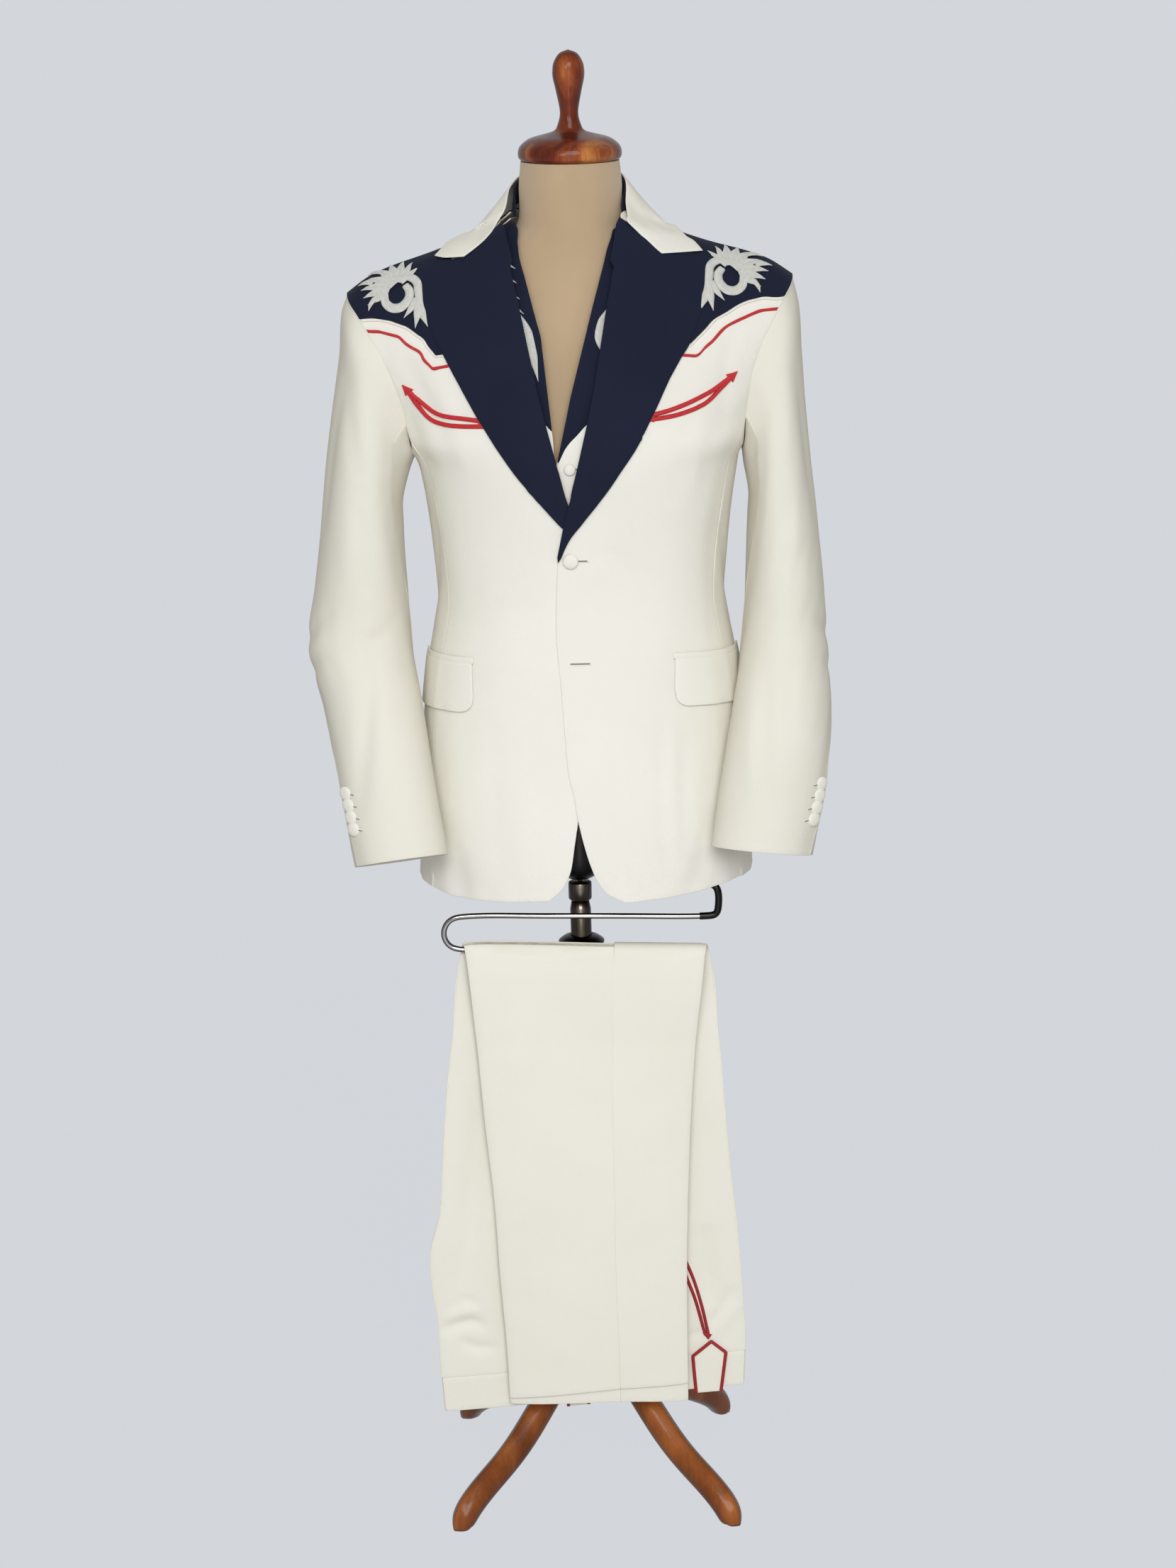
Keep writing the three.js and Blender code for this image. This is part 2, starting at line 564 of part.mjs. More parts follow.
// ---------- the model ----------
const suit = new THREE.Group();
const FINISH = {
  ivory: { color: 0xf0eee2, roughness: 0.8 },
  navy: { color: 0x1f2540, roughness: 0.75 },
  red: { color: 0xbe1e28, roughness: 0.5 },
  cream: { color: 0xf3efe0, roughness: 0.7 },
  linen: { color: 0xbcaa8c, roughness: 0.9 },
  capWood: { color: 0x5f230f, roughness: 0.25 },
  legWood: { color: 0x6e3714, roughness: 0.35 },
  steel: { color: 0x2b2522, roughness: 0.35, metalness: 0.8 },
  black: { color: 0x14130f, roughness: 0.25 },
  chrome: { color: 0xc9ccd0, roughness: 0.12, metalness: 1 },
};
const finishes = Object.fromEntries(
  Object.entries(FINISH).map(([name, look]) => [name, new THREE.MeshStandardMaterial(look)]),
);
function add(name, geometry, finish) {
  const mesh = new THREE.Mesh(geometry, finishes[finish]);
  mesh.name = name;
  suit.add(mesh);
  return mesh;
}

// The lap eases out away from the middle, so the side seams still meet.
const lapped = (distance) => (p) => distance + LAP * (1 - smooth(25, 75, p.x));
const HANDS = { left: [LEFT, -1], right: [RIGHT, 1] };
const HEM_BACK = 722;
const BACK_YOKE = [
  [-240, 1345], [-190, 1350], [-120, 1318], [-40, 1312], [0, 1292], [36, 1313], [116, 1322], [188, 1358], [240, 1357],
];
const hemPrism = (side) => prism([[-FAR, 735], [-215, 731], [0, HEM_BACK], [215, 733], [FAR, 735], [FAR, 1560], [-FAR, 1560]], side);

/** Red pocket piping: two arcs that meet in arrowheads at both ends. */
function pocketPiping({ upper, lower }) {
  const arcs = [upper, lower].map((row) => strip(curved(row, 2), -POCKET_PIPING / 2, POCKET_PIPING / 2));
  const between = (k) => [0, 1].map((axis) => (upper.at(k)[axis] + lower.at(k)[axis]) / 2);
  const heads = [[0, 1], [-1, -2]].map((ends) => {
    const [tip, other] = ends.map(between);
    const away = new THREE.Vector2(tip[0] - other[0], tip[1] - other[1]).normalize();
    const half = 5;
    return [
      [tip[0] + away.x * half, tip[1] + away.y * half],
      [tip[0] - away.x * half - away.y * half, tip[1] - away.y * half + away.x * half],
      [tip[0] - away.x * half + away.y * half, tip[1] - away.y * half - away.x * half],
    ];
  });
  return [...arcs, ...heads].map((outline) => prism(outline, 'front')).reduce((sum, one) => sum.add(one));
}

/** Pocket flap with one rounded corner, and the narrow welt above it. */
function flapOutlines({ inner, corner, drop, slope, width }, turn) {
  const at = (across, down) => [inner[0] + turn * across, inner[1] - down + slope * across];
  const round = [0, 0.25, 0.5, 0.75, 1].map((s) => {
    const angle = (s * HALF_TURN) / 2;
    return at(corner * (1 - Math.cos(angle)), drop - corner * (1 - Math.sin(angle)));
  });
  const flap = [at(0, 0), ...round, at(width, drop), at(width, 0)];
  const welt = [at(-1.5, -6), at(-1.5, -GAP), at(width, -GAP), at(width, -6)];
  return { flap, welt };
}

/** A covered button: a low dome on the cloth, turned to face along a direction. */
function button(point, direction, radius, high = 4) {
  const dome = [[0, 0], [radius, 0], [radius * 0.85, high * 0.75], [0, high]];
  const geometry = new THREE.LatheGeometry(dome.map(([r, y]) => new THREE.Vector2(r, y)), 8);
  geometry.applyQuaternion(new THREE.Quaternion().setFromUnitVectors(V(0, 1, 0), direction));
  geometry.translate(point.x, point.y, point.z);
  return geometry;
}

function buildJacketBody() {
  const neck = neckCylinder(NECK.cut);
  for (const [hand, [cut, turn]] of Object.entries(HANDS)) {
    const lift = turn > 0 ? lapped : (distance) => distance;
    const layer = (low, high) => wall(frontGrid, lift(low), lift(high));
    const trim = layer(GAP, GAP + TRIM);
    const onTrim = (outline) => cutTo(trim, prism(outline, 'front'));
    const front = cutTo(layer(-CLOTH, 0), prism(frontOutline(cut, turn), 'front'));
    add(`jacket_front_${hand}`, cutFrom(front, neck), 'ivory');
    add(`jacket_lapel_${hand}`, cutTo(layer(UNDER_LAPEL, UNDER_LAPEL + CLOTH), prism(lapelOutline(cut), 'front')), 'navy');
    add(`jacket_yoke_${hand}`, onTrim(yokeOutline(cut, turn)), 'navy');
    add(`jacket_yoke_cord_${hand}`, onTrim(strip(yokeEdge(cut), -CORD / 2, CORD / 2)), 'cream');
    add(`jacket_piping_${hand}`, onTrim(strip(pipingLine(cut), -PIPING / 2, PIPING / 2)), 'red');
    add(`jacket_pocket_piping_${hand}`, cutTo(trim, pocketPiping(cut.pocket)), 'red');
    const { flap, welt } = flapOutlines(cut.flap, turn);
    const round = wall(wrapGrid(turn), lift(GAP), lift(GAP + TRIM));
    add(`jacket_flap_${hand}`, cutTo(round, prism(flap, 'front')), 'ivory');
    add(`jacket_welt_${hand}`, cutTo(round, prism(welt, 'front')), 'ivory');
    const hem = hemPrism('both');
    add(`jacket_side_${hand}`, cutTo(wall(sideGrid(turn), -CLOTH, 0), hem), 'ivory');
    const half = [[turn * GAP / 2, 600], [turn * FAR, 600], [turn * FAR, 1560], [turn * GAP / 2, 1560]];
    const back = cutTo(wall(backGrid, -CLOTH, 0), prism(half, 'back'), hem);
    add(`jacket_back_${hand}`, cutFrom(back, neck), 'ivory');
  }
  const yoke = [...BACK_YOKE, [FAR, 1560], [-FAR, 1560]];
  add('jacket_yoke_back', cutFrom(cutTo(wall(backGrid, GAP, GAP + TRIM), prism(yoke, 'back')), neck), 'navy');
  const cord = strip(BACK_YOKE, -CORD - GAP, -GAP);
  add('jacket_yoke_cord_back', cutTo(wall(backGrid, GAP, GAP + TRIM), prism(cord, 'back')), 'cream');
  add('jacket_collar', wall(collarGrid(), 0, CLOTH), 'ivory');
  add('jacket_collar_stand', wall(collarStandGrid(), -CLOTH, 0), 'ivory');
  const closed = over(-8, 1092.4, 'front', LAP + GAP);
  add('jacket_button', button(closed, closed.out, 8.7, 4.5), 'ivory');
}

const CUFF_BUTTONS = { radius: 8, pitch: 13.2, fromHem: 39, fromSeam: 0.55, count: 4 };
function buildSleeves() {
  for (const [hand, rings, turn] of [['left', SLEEVE_LEFT, -1], ['right', SLEEVE_RIGHT, 1]]) {
    const upper = sleeveGrid(rings, turn, 8, (r) => r.back, (r) => r.fore);
    const under = sleeveGrid(rings, turn, 5, (r) => r.fore, (r) => r.back + 360);
    add(`jacket_sleeve_${hand}`, wall(upper, -CLOTH, 0), 'ivory');
    add(`jacket_undersleeve_${hand}`, wall(under, -CLOTH, 0), 'ivory');
    // The facet at the hem beside the back seam carries the buttons.
    const [[seam, next], [seamAbove, nextAbove]] = [0, 1].map((i) => (turn > 0 ? [...upper[i]].reverse() : upper[i]));
    const facing = nextAbove.clone().sub(seam).cross(seamAbove.clone().sub(next)).multiplyScalar(-turn).normalize();
    const row = Array.from({ length: CUFF_BUTTONS.count }, (_, k) => {
      const share = (CUFF_BUTTONS.fromHem + k * CUFF_BUTTONS.pitch) / seam.distanceTo(seamAbove);
      const place = seam.clone().lerp(seamAbove, share).lerp(next.clone().lerp(nextAbove, share), CUFF_BUTTONS.fromSeam);
      return toManifold(button(place.addScaledVector(facing, 3.4 * GAP), facing, CUFF_BUTTONS.radius));
    });
    add(`jacket_cuff_buttons_${hand}`, fromManifold(row.reduce((sum, one) => sum.add(one))), 'ivory');
  }
}

// ---------- the waistcoat, inside the jacket ----------
const UNDER_JACKET = 7.8;   // from the jacket's outer face to the waistcoat's inner one
const WAISTCOAT_ROWS = [[860, 935, 1035, 1110, ARMPIT_Z], [0.2, 0.45, 0.7, 0.88, 0.98, 1]];
const WAISTCOAT_ARMHOLE = [[FAR, 1160], [200, 1165], [172, 1190], [160, 1230], [150, 1300], [142, 1380], [140, 1540]];
const WAISTCOAT_HEM = [[35, 868], [90, 890], [150, 905], [FAR, 905]];
const WAISTCOAT = {
  right: {
    neck: [[60, 1540], [58.5, 1470], [37, 1415.5], [19, 1353], [-4, 1268], [-21, 1192]],
    edge: [[-23, 1140], [-23, 1020], [-22, 940], [-4, 905]],
    yoke: [[-40, 1182], [-21, 1192], [-6, 1220], [14, 1240], [60, 1262], [110, 1290], [190, 1315]],
  },
  left: {
    neck: [[-64, 1540], [-63, 1462], [-57, 1413], [-35, 1329], [-21, 1192]],
    edge: [[-8, 1160], [12, 1110], [12, 1000], [10, 930], [4, 905]],
    yoke: [[12, 1190], [-15, 1221], [-35, 1242], [-60, 1258], [-110, 1286], [-190, 1310]],
  },
};

function buildWaistcoat() {
  const neck = neckCylinder(NECK.cut);
  const front = bodyGrid(SIDES.front, 0, 10, ...WAISTCOAT_ROWS);
  for (const [hand, [, turn]] of Object.entries(HANDS)) {
    const { neck: collarless, edge, yoke } = WAISTCOAT[hand];
    const mirrored = (points) => points.map(([x, z]) => [turn * x, z]);
    const outline = [...collarless, ...edge, ...mirrored(WAISTCOAT_HEM), ...mirrored(WAISTCOAT_ARMHOLE)];
    const lift = turn > 0 ? lapped : (distance) => distance;
    const sheet = wall(front, lift(-UNDER_JACKET), lift(CLOTH - UNDER_JACKET));
    const piece = cutFrom(cutTo(sheet, prism(outline, 'both')), neck);
    const line = curved(yoke, 1);
    const above = (distance, z) => [...beside(line, turn * distance), [turn * FAR, z], [-turn * 60, z]];
    add(`waistcoat_yoke_${hand}`, cutTo(piece, prism(above(GAP / 2, 1560))), 'navy');
    add(`waistcoat_front_${hand}`, cutTo(piece, prism(above(-GAP / 2, 800))), 'ivory');
  }
  const back = wall(bodyGrid(SIDES.back, 0, 8, ...WAISTCOAT_ROWS), -UNDER_JACKET, CLOTH - UNDER_JACKET);
  const other = WAISTCOAT_ARMHOLE.map(([x, z]) => [-x, z]).reverse();
  const whole = [[-FAR, 905], [FAR, 905], ...WAISTCOAT_ARMHOLE, ...other];
  add('waistcoat_back', cutFrom(cutTo(back, prism(whole, 'both')), neck), 'ivory');
  const closed = over(-7, 1191.6, 'front', LAP + CLOTH - UNDER_JACKET + GAP);
  add('waistcoat_button', button(closed, closed.out, 6.5, 3), 'ivory');
}

// ---------- the trousers, hung over the bar ----------
const TROUSER = 1.2;        // wall of the lighter trouser cloth
const ROD = 3.5;            // radius of the bar
const HANG = { y: -70, z: 649.6, tilt: -0.03, forward: 0.041 };  // the lower bar and how the cloth hangs from it
const FALL_FRONT = table('z left right', [
  [134, -93.8, 106.6], [190, -95.8, 106.6], [279, -101.8, 107], [362, -106, 109.3], [448, -114, 113],
  [523, -119.5, 117.8], [604, -127, 126], [650, -132, 131.5],
]);
const FALL_BACK = table('z left right', [
  [110, -167, 168], [150, -170, 172.3], [190, -172.5, 172], [229, -173.5, 170.5], [266, -179, 168.4], [304, -180.3, 166.5],
  [345, -169, 163], [397, -164.5, 157.6], [464, -159.5, 152.5], [555, -148.5, 145.5], [650, -136, 136],
]);
// Lower ends of the plies as lines across: height at the middle and slope.
const HEMS = { outer: { z: 141.4, slope: 0.07 }, inner: { z: 127, slope: 0 } };
const WAIST = { z: 127.5, slope: 0.078 };
const WAISTBAND = 40;
const FORK_Z = 300;
const SIDE_SEAM = 0.62;     // part of the width that the back panel takes
// Faces of each leg's two plies, from the middle of the bar outward.
const PLY = { inner: [ROD + 2 * GAP, ROD + 4 * GAP + 2 * TROUSER], outer: [ROD + 5 * GAP + 2 * TROUSER, ROD + 7 * GAP + 4 * TROUSER] };

const barZ = (x) => HANG.z + HANG.tilt * x;
/** A place on the hanging cloth: front fall (-1) or back fall (1), height, across and away from the bar. */
function fallPoint(fall, x, z, away) {
  return V(x, HANG.y + fall * away - HANG.forward * (barZ(x) - z), z);
}
/** A place where the cloth bends over the bar, from the front (0) to the back (1). */
function bendPoint(share, x, away) {
  const angle = HALF_TURN * (1 - share);
  return V(x, HANG.y + away * Math.cos(angle), barZ(x) + away * Math.sin(angle));
}

/** Rows of the cloth between two places: front fall from its hem up, over the bar, back fall down. */
function fallRows({ hem, waist, fromBack = false }) {
  const rows = [];
  const at = (x, line) => line.z + line.slope * x;
  if (!fromBack) {
    for (const s of [0, 0.12, 0.28, 0.45, 0.62, 0.8]) {
      rows.push({ edges: (side) => along(FALL_FRONT, 'z', mix(hem.z, HANG.z, s), side),
        place: (x, away) => fallPoint(-1, x, mix(at(x, hem), barZ(x), s), away) });
    }
    for (const s of [0, 0.25, 0.5, 0.75, 1]) {
      rows.push({ edges: (side) => mix(FALL_FRONT.at(-1)[side], FALL_BACK.at(-1)[side], s),
        place: (x, away) => bendPoint(s, x, away) });
    }
  }
  for (const z of fromBack ? [waist.z + WAISTBAND - GAP] : [555, 464, 397, 345, FORK_Z + 4, 266, 229, 190]) {
    rows.push({ edges: (side) => along(FALL_BACK, 'z', z, side),
      place: (x, away) => fallPoint(1, x, z + waist.slope * x * (1 - smooth(190, 345, z)), away) });
  }
  const end = fromBack ? waist.z : waist.z + WAISTBAND;
  rows.push({ edges: (side) => along(FALL_BACK, 'z', end, side),
    place: (x, away) => fallPoint(1, x, end + waist.slope * x, away) });
  return rows;
}

/** Wall of doubled cloth round the left or right crease, between its outer and inner faces. */
function foldedWall(rows, ply, hand, seam, extra = () => 0) {
  const turn = hand === 'left' ? 1 : -1;
  const [low, high] = ply;
  const middle = (low + high) / 2;
  const columns = (row, inset) => {
    const edge = row.edges(hand) + turn * extra(row);
    const stop = mix(row.edges('left'), row.edges('right'), seam) - turn * (GAP / 2);
    const crease = edge + turn * inset;
    const half = (high - low) / 2 - inset;
    return [[stop, half], [edge + turn * 4, half], [crease, 0], [edge + turn * 4, -half], [stop, -half]]
      .map(([x, away]) => row.place(x, middle + away));
  };
  return between(rows.map((row) => columns(row, 0)), rows.map((row) => columns(row, TROUSER)));
}

// What shows on the near ply of the back fall: belt loops with a point, and the red pocket piping.
const BELT_LOOPS = {
  side: [[133.6, 194], [150.5, 180], [144.2, 134], [115.5, 132], [112, 176]],
  middle: [[-18, 176], [-5, 166], [-5, 121], [-29, 119], [-30, 165]],
};
// Two rows of piping along the pocket, and the arrowhead where they meet.
const TROUSER_POCKET = {
  rows: [
    [[102.5, 296], [105.8, 288.6], [114.3, 267], [121.6, 242], [126.6, 220], [130.6, 200]],
    [[103, 279], [109.2, 262], [115.6, 244], [121, 224], [124.6, 209], [127, 200]],
  ],
  head: [[123.4, 203], [134.6, 200.8], [130.2, 194.6]],
};

/** Solid between two distances from the bar on the back fall, for cutting and for trims. */
function backSlab(outline, low, high) {
  const solid = prism(outline, 'both');
  const rows = [100, 345].map((z) => [-200, 200].map((x) => ({ x, z })));
  const face = (away) => rows.map((row) => row.map(({ x, z }) => fallPoint(1, x, z, away)));
  return toManifold(between(face(high), face(low))).intersect(solid);
}

function buildTrousers() {
  const seat = backSlab(
    [[-166, 60], [160, 60], [160, FORK_Z - 30], [120, FORK_Z], [-150, FORK_Z], [-166, FORK_Z - 12]],
    PLY.inner[0] + TROUSER + GAP / 2, PLY.outer[1] - TROUSER - GAP / 2,
  );
  for (const [leg, ply] of Object.entries(PLY)) {
    const rows = fallRows({ hem: HEMS[leg], waist: WAIST });
    const shift = (row) => (leg === 'inner' && row.hem ? -3 : 0);
    for (const [hand, panel, seam] of [['left', 'back', SIDE_SEAM], ['right', 'front', SIDE_SEAM]]) {
      add(`trousers_${panel}_${leg}`, cutFrom(foldedWall(rows, ply, hand, seam, shift), seat), 'ivory');
    }
    const band = fallRows({ waist: WAIST, fromBack: true });
    const halves = ['left', 'right'].map((hand) => toManifold(foldedWall(band, ply, hand, hand === 'left' ? SIDE_SEAM + 0.02 : SIDE_SEAM - 0.02)));
    add(`trousers_waistband_${leg}`, fromManifold(halves[0].add(halves[1]).subtract(seat)), 'ivory');
  }
  const trim = [PLY.inner[0] - GAP - TRIM, PLY.inner[0] - GAP];
  for (const [name, outline] of Object.entries(BELT_LOOPS)) {
    add(`trousers_loop_${name}`, fromManifold(backSlab(outline, ...trim)), 'ivory');
  }
  const { rows, head } = TROUSER_POCKET;
  const piping = [...rows.map((row) => strip(curved(row, 2), -POCKET_PIPING / 2, POCKET_PIPING / 2)), head];
  const sewn = piping.map((outline) => backSlab(outline, ...trim)).reduce((sum, one) => sum.add(one));
  add('trousers_pocket_piping', fromManifold(sewn), 'red');
}

// ---------- the dress form ----------
const FORM_NAMES = 'z half front back y round';
const FORM = table(FORM_NAMES, [
  [800, 164, 96, 93, 0, 2.3], [860, 160, 93, 89, 0, 2.3], [935, 153, 90, 82, 0, 2.3], [985, 146, 88, 76, 0, 2.3],
  [1035, 138, 87, 73, 0, 2.3], [1090, 140, 90, 77, 0, 2.3], [1150, 147, 96, 85, 0, 2.3], [1190, 152, 99, 91, 0, 2.3],
  [1250, 158, 94, 90, 1, 2.3], [1300, 156, 86, 85, 2, 2.3], [1350, 146, 75, 77, 3, 2.3], [1380, 132, 66, 70, 4, 2.2],
  [1400, 108, 58, 63, 5, 2.1], [1420, 80, 55, 58, 6, 2], [1436, 59, 55, 55.5, 6, 2], [1450, 55.4, 55, 55, 6, 2],
  [1478, 55, 55, 55, 6, 2], [1504, 52.6, 52.6, 52.6, 6, 2],
]);
const FORM_SIDES = 22;
const FORM_NECK_X = -0.6;
const formX = (z) => mix(lean(z), FORM_NECK_X, smooth(1350, 1450, z));
const FORM_CAP = [
  [0, 1504.3], [51.6, 1504.3], [54.6, 1507.5], [55.4, 1511.5], [54.6, 1516.5], [51.5, 1521.5], [42.3, 1527.8], [27, 1532],
  [16.5, 1535.5], [12.6, 1541.5], [9.8, 1555], [13.5, 1576], [16.6, 1590], [17, 1598], [15.4, 1607], [9.5, 1616], [0, 1620],
];

function latheAt(profile, x, y, sides) {
  const geometry = new THREE.LatheGeometry(profile.map(([r, z]) => new THREE.Vector2(r, z)), sides);
  geometry.rotateX(HALF_TURN / 2);
  geometry.translate(x, y, 0);
  return geometry;
}

function buildForm() {
  const rings = FORM.map((ring) => Array.from({ length: FORM_SIDES }, (_, k) => {
    const angle = (2 * HALF_TURN * k) / FORM_SIDES;
    const power = 2 / ring.round;
    const across = Math.sign(Math.cos(angle)) * Math.abs(Math.cos(angle)) ** power;
    const along2 = Math.sign(Math.sin(angle)) * Math.abs(Math.sin(angle)) ** power;
    return V(formX(ring.z) + ring.half * across, ring.y + (along2 < 0 ? ring.front : ring.back) * along2, ring.z);
  }));
  add('form_torso', loft(rings), 'linen');
  add('form_cap', latheAt(FORM_CAP, FORM_NECK_X, NECK.y, 22), 'capWood');
}

// ---------- the stand ----------
const STAND_Y = 3;
const HUB_X = 1.2;
const POLE_TOP = { x: -4.8, z: 700 };   // the pole leans a little
const HUB_TOP = 190;
const poleX = (z) => mix(HUB_X, POLE_TOP.x, Math.min(1, Math.max(0, (z - HUB_TOP) / (POLE_TOP.z - HUB_TOP))));
const STAND = {
  boss: [[0, 712], [9, 712.8], [17, 716], [23, 723], [26, 735], [27, 752], [27, 799.7], [0, 799.7]],
  stem: [[0, 709.3], [2.4, 709.3], [2.4, 711.7], [0, 711.7]],
  knob: [[0, 688], [11.5, 688], [13, 690], [13, 707], [11.5, 709], [0, 709]],
  flange: [[12.5, 638], [25.5, 638], [25.5, 641.5], [20, 645], [14, 647.5], [12.5, 647.5], [12.5, 638]],
  hub: [[0, 92], [17, 92], [24, 95], [31, 102], [34, 110], [34, 160], [31, 174], [26, 184], [20, HUB_TOP], [0, HUB_TOP]],
};
const POLE = { radius: 12, sides: 20, top: 687.7 };
// Middle line of the chrome bar: from the boss forward, down, across, round the bend and back under the trousers.
const BAR = [
  [19.8, -8.9, 746], [31.2, -14.4, 746], [60, -28.3, 742], [110, -52.4, 730], [134, -64.5, 724.5], [143, -69, 721.5], [146.8, -70, 715],
  [146.8, -70, 698], [144.5, -70, 690], [137, -70, 687.3], [60, -70, 688.8], [-60, -70, 691], [-136.5, -70, 691.8],
  [-150, -70, 686], [-155.5, -70, 672.5], [-150, -70, 659], [-136.5, -70, 653.6], [-60, -70, 651.4], [60, -70, 647.8],
  [128, -70, 645.8],
];
// Middle line of a leg, out from the pole and up, and its width.
const LEG = table('out z width', [
  [34.3, 145, 29], [60, 132, 32], [87, 106, 33], [116, 78, 33], [145, 57, 32], [180, 39, 32], [205, 22, 32],
  [214, 9, 30], [216, 0, 21],
]);
// Section of a leg with a soft ridge on top: across and up as parts of the half width.
const LEG_SECTION = [[0, 1], [0.62, 0.66], [0.98, 0.1], [0.9, -0.6], [0.45, -0.97], [-0.45, -0.97], [-0.9, -0.6], [-0.98, 0.1], [-0.62, 0.66]];

/** Round rod along a curve, closed at both ends, with its section kept from twisting. */
function rod(path, radius, sides) {
  const curve = new THREE.CatmullRomCurve3(path.map((p) => V(...p)), false, 'centripetal');
  const steps = 2 * (path.length - 1);
  const across = V(0, 0, 1);
  return loft(Array.from({ length: steps + 1 }, (_, i) => {
    const middle = curve.getPoint(i / steps);
    const onward = curve.getTangent(i / steps);
    across.addScaledVector(onward, -across.dot(onward)).normalize();
    const other = onward.clone().cross(across);
    return Array.from({ length: sides }, (__, k) => {
      const angle = (2 * HALF_TURN * k) / sides;
      return middle.clone().addScaledVector(across, radius * Math.cos(angle)).addScaledVector(other, radius * Math.sin(angle));
    });
  }));
}

function legRings(turnX, turnY) {
  const away = V(turnX, turnY, 0).normalize();
  const side = V(-away.y, away.x, 0);
  return LEG.map((ring, i) => {
    const before = LEG[Math.max(i - 1, 0)];
    const after = LEG[Math.min(i + 1, LEG.length - 1)];
    const tangent = new THREE.Vector2(after.out - before.out, after.z - before.z).normalize();
    if (i === 0) tangent.set(1, 0);
    if (i === LEG.length - 1) tangent.set(0, -1);
    const up = away.clone().multiplyScalar(-tangent.y).add(V(0, 0, tangent.x));
    const middle = away.clone().multiplyScalar(ring.out).add(V(HUB_X, STAND_Y, ring.z));
    return LEG_SECTION.map(([across, high]) => middle.clone()
      .addScaledVector(side, (across * ring.width) / 2).addScaledVector(up, (high * ring.width) / 2));
  });
}

function buildStand() {
  const onPole = (name, sides) => latheAt(STAND[name], poleX(STAND[name][0][1]), STAND_Y, sides);
  add('stand_boss', onPole('boss', 20), 'black');
  add('stand_stem', onPole('stem', 12), 'steel');
  add('stand_knob', onPole('knob', 20), 'steel');
  add('stand_pole', loft([HUB_TOP + GAP, POLE.top].map((z) => Array.from({ length: POLE.sides }, (_, k) => {
    const angle = (2 * HALF_TURN * k) / POLE.sides;
    return V(poleX(z) + POLE.radius * Math.cos(angle), STAND_Y + POLE.radius * Math.sin(angle), z);
  }))), 'steel');
  add('stand_flange', onPole('flange', 20), 'black');
  add('stand_hub', onPole('hub', 20), 'legWood');
  add('stand_bar', rod(BAR, ROD, 8), 'chrome');
  for (const [name, x, y] of [['front_left', -1, -1], ['front_right', 1, -1], ['back_left', -1, 1], ['back_right', 1, 1]]) {
    add(`stand_leg_${name}`, loft(legRings(x, y)), 'legWood');
  }
}

buildForm();
buildStand();
buildJacketBody();
buildSleeves();
buildWaistcoat();
buildTrousers();

export default suit;
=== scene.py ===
"""Looks of a western suit on its dress form: wool cloth, piping, thread work, turned wood and steel."""
import math

import bmesh
import bpy
import numpy as np
from mathutils import Matrix, Vector, geometry
from mathutils.bvhtree import BVHTree


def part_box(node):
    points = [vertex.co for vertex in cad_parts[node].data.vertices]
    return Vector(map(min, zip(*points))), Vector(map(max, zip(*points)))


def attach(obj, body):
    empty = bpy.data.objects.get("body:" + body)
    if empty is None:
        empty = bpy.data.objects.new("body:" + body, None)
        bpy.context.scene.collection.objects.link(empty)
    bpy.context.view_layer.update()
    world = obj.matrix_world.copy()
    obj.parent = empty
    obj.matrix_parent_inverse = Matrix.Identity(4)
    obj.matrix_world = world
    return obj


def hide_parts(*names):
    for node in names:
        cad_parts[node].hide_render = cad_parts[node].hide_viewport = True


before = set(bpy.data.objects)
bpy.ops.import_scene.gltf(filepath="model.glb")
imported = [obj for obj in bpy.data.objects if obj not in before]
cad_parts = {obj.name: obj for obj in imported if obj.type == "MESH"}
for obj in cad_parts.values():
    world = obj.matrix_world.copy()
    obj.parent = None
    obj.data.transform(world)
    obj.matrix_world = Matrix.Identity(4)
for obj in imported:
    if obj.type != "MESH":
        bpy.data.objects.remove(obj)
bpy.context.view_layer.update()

CLOTH = 0.0016          # wool cloth
TRIM = 0.0012           # yokes, cords and piping laid on a panel
TROUSER = 0.0012        # lighter cloth of the trousers
GAP = 0.0003
CORNER = math.radians(34)   # an outline that turns more than this keeps its corner
AXIS = [(-0.002, 0.006, 0.6), (-0.002, 0.006, 1.6)]
SLEEVE_AXIS = {
    "left": [(-0.198, -0.096, 0.765), (-0.217, -0.062, 0.875), (-0.2395, -0.015, 0.984), (-0.2335, 0, 1.098),
             (-0.2135, 0.005, 1.265), (-0.2, 0.005, 1.34)],
    "right": [(0.1943, -0.099, 0.77), (0.2123, -0.079, 0.875), (0.2223, -0.032, 0.984),
              (0.222, -0.004, 1.098), (0.2108, 0.005, 1.264), (0.198, 0.005, 1.34)],
}
BAR_Z = 0.6496          # the run of the bar that carries the trousers
BAR_Y = -0.07
FALL_LEAN = 0.041       # how far the falls lean forward for each metre down
SAME_PLACE = 2e-6       # points of a solid nearer than this are one


# ---------- meshes as arrays ----------
def unit(rows):
    return rows / np.maximum(np.linalg.norm(rows, axis=-1, keepdims=True), 1e-12)


def sides(rows, tris):
    """What rows gain from each triangle's first corner to its second and to its third."""
    return rows[tris[:, 1]] - rows[tris[:, 0]], rows[tris[:, 2]] - rows[tris[:, 0]]


def flat_cross(one, two):
    return one[:, 0] * two[:, 1] - one[:, 1] * two[:, 0]


def slopes(flat, rows, tris):
    """How rows rise across and up a pattern, each triangle counting by its area."""
    (one, two), (rise_one, rise_two) = sides(flat, tris), sides(rows, tris)
    return np.stack([rise_one * two[:, 1:] - rise_two * one[:, 1:],
                     rise_two * one[:, :1] - rise_one * two[:, :1]], 1)


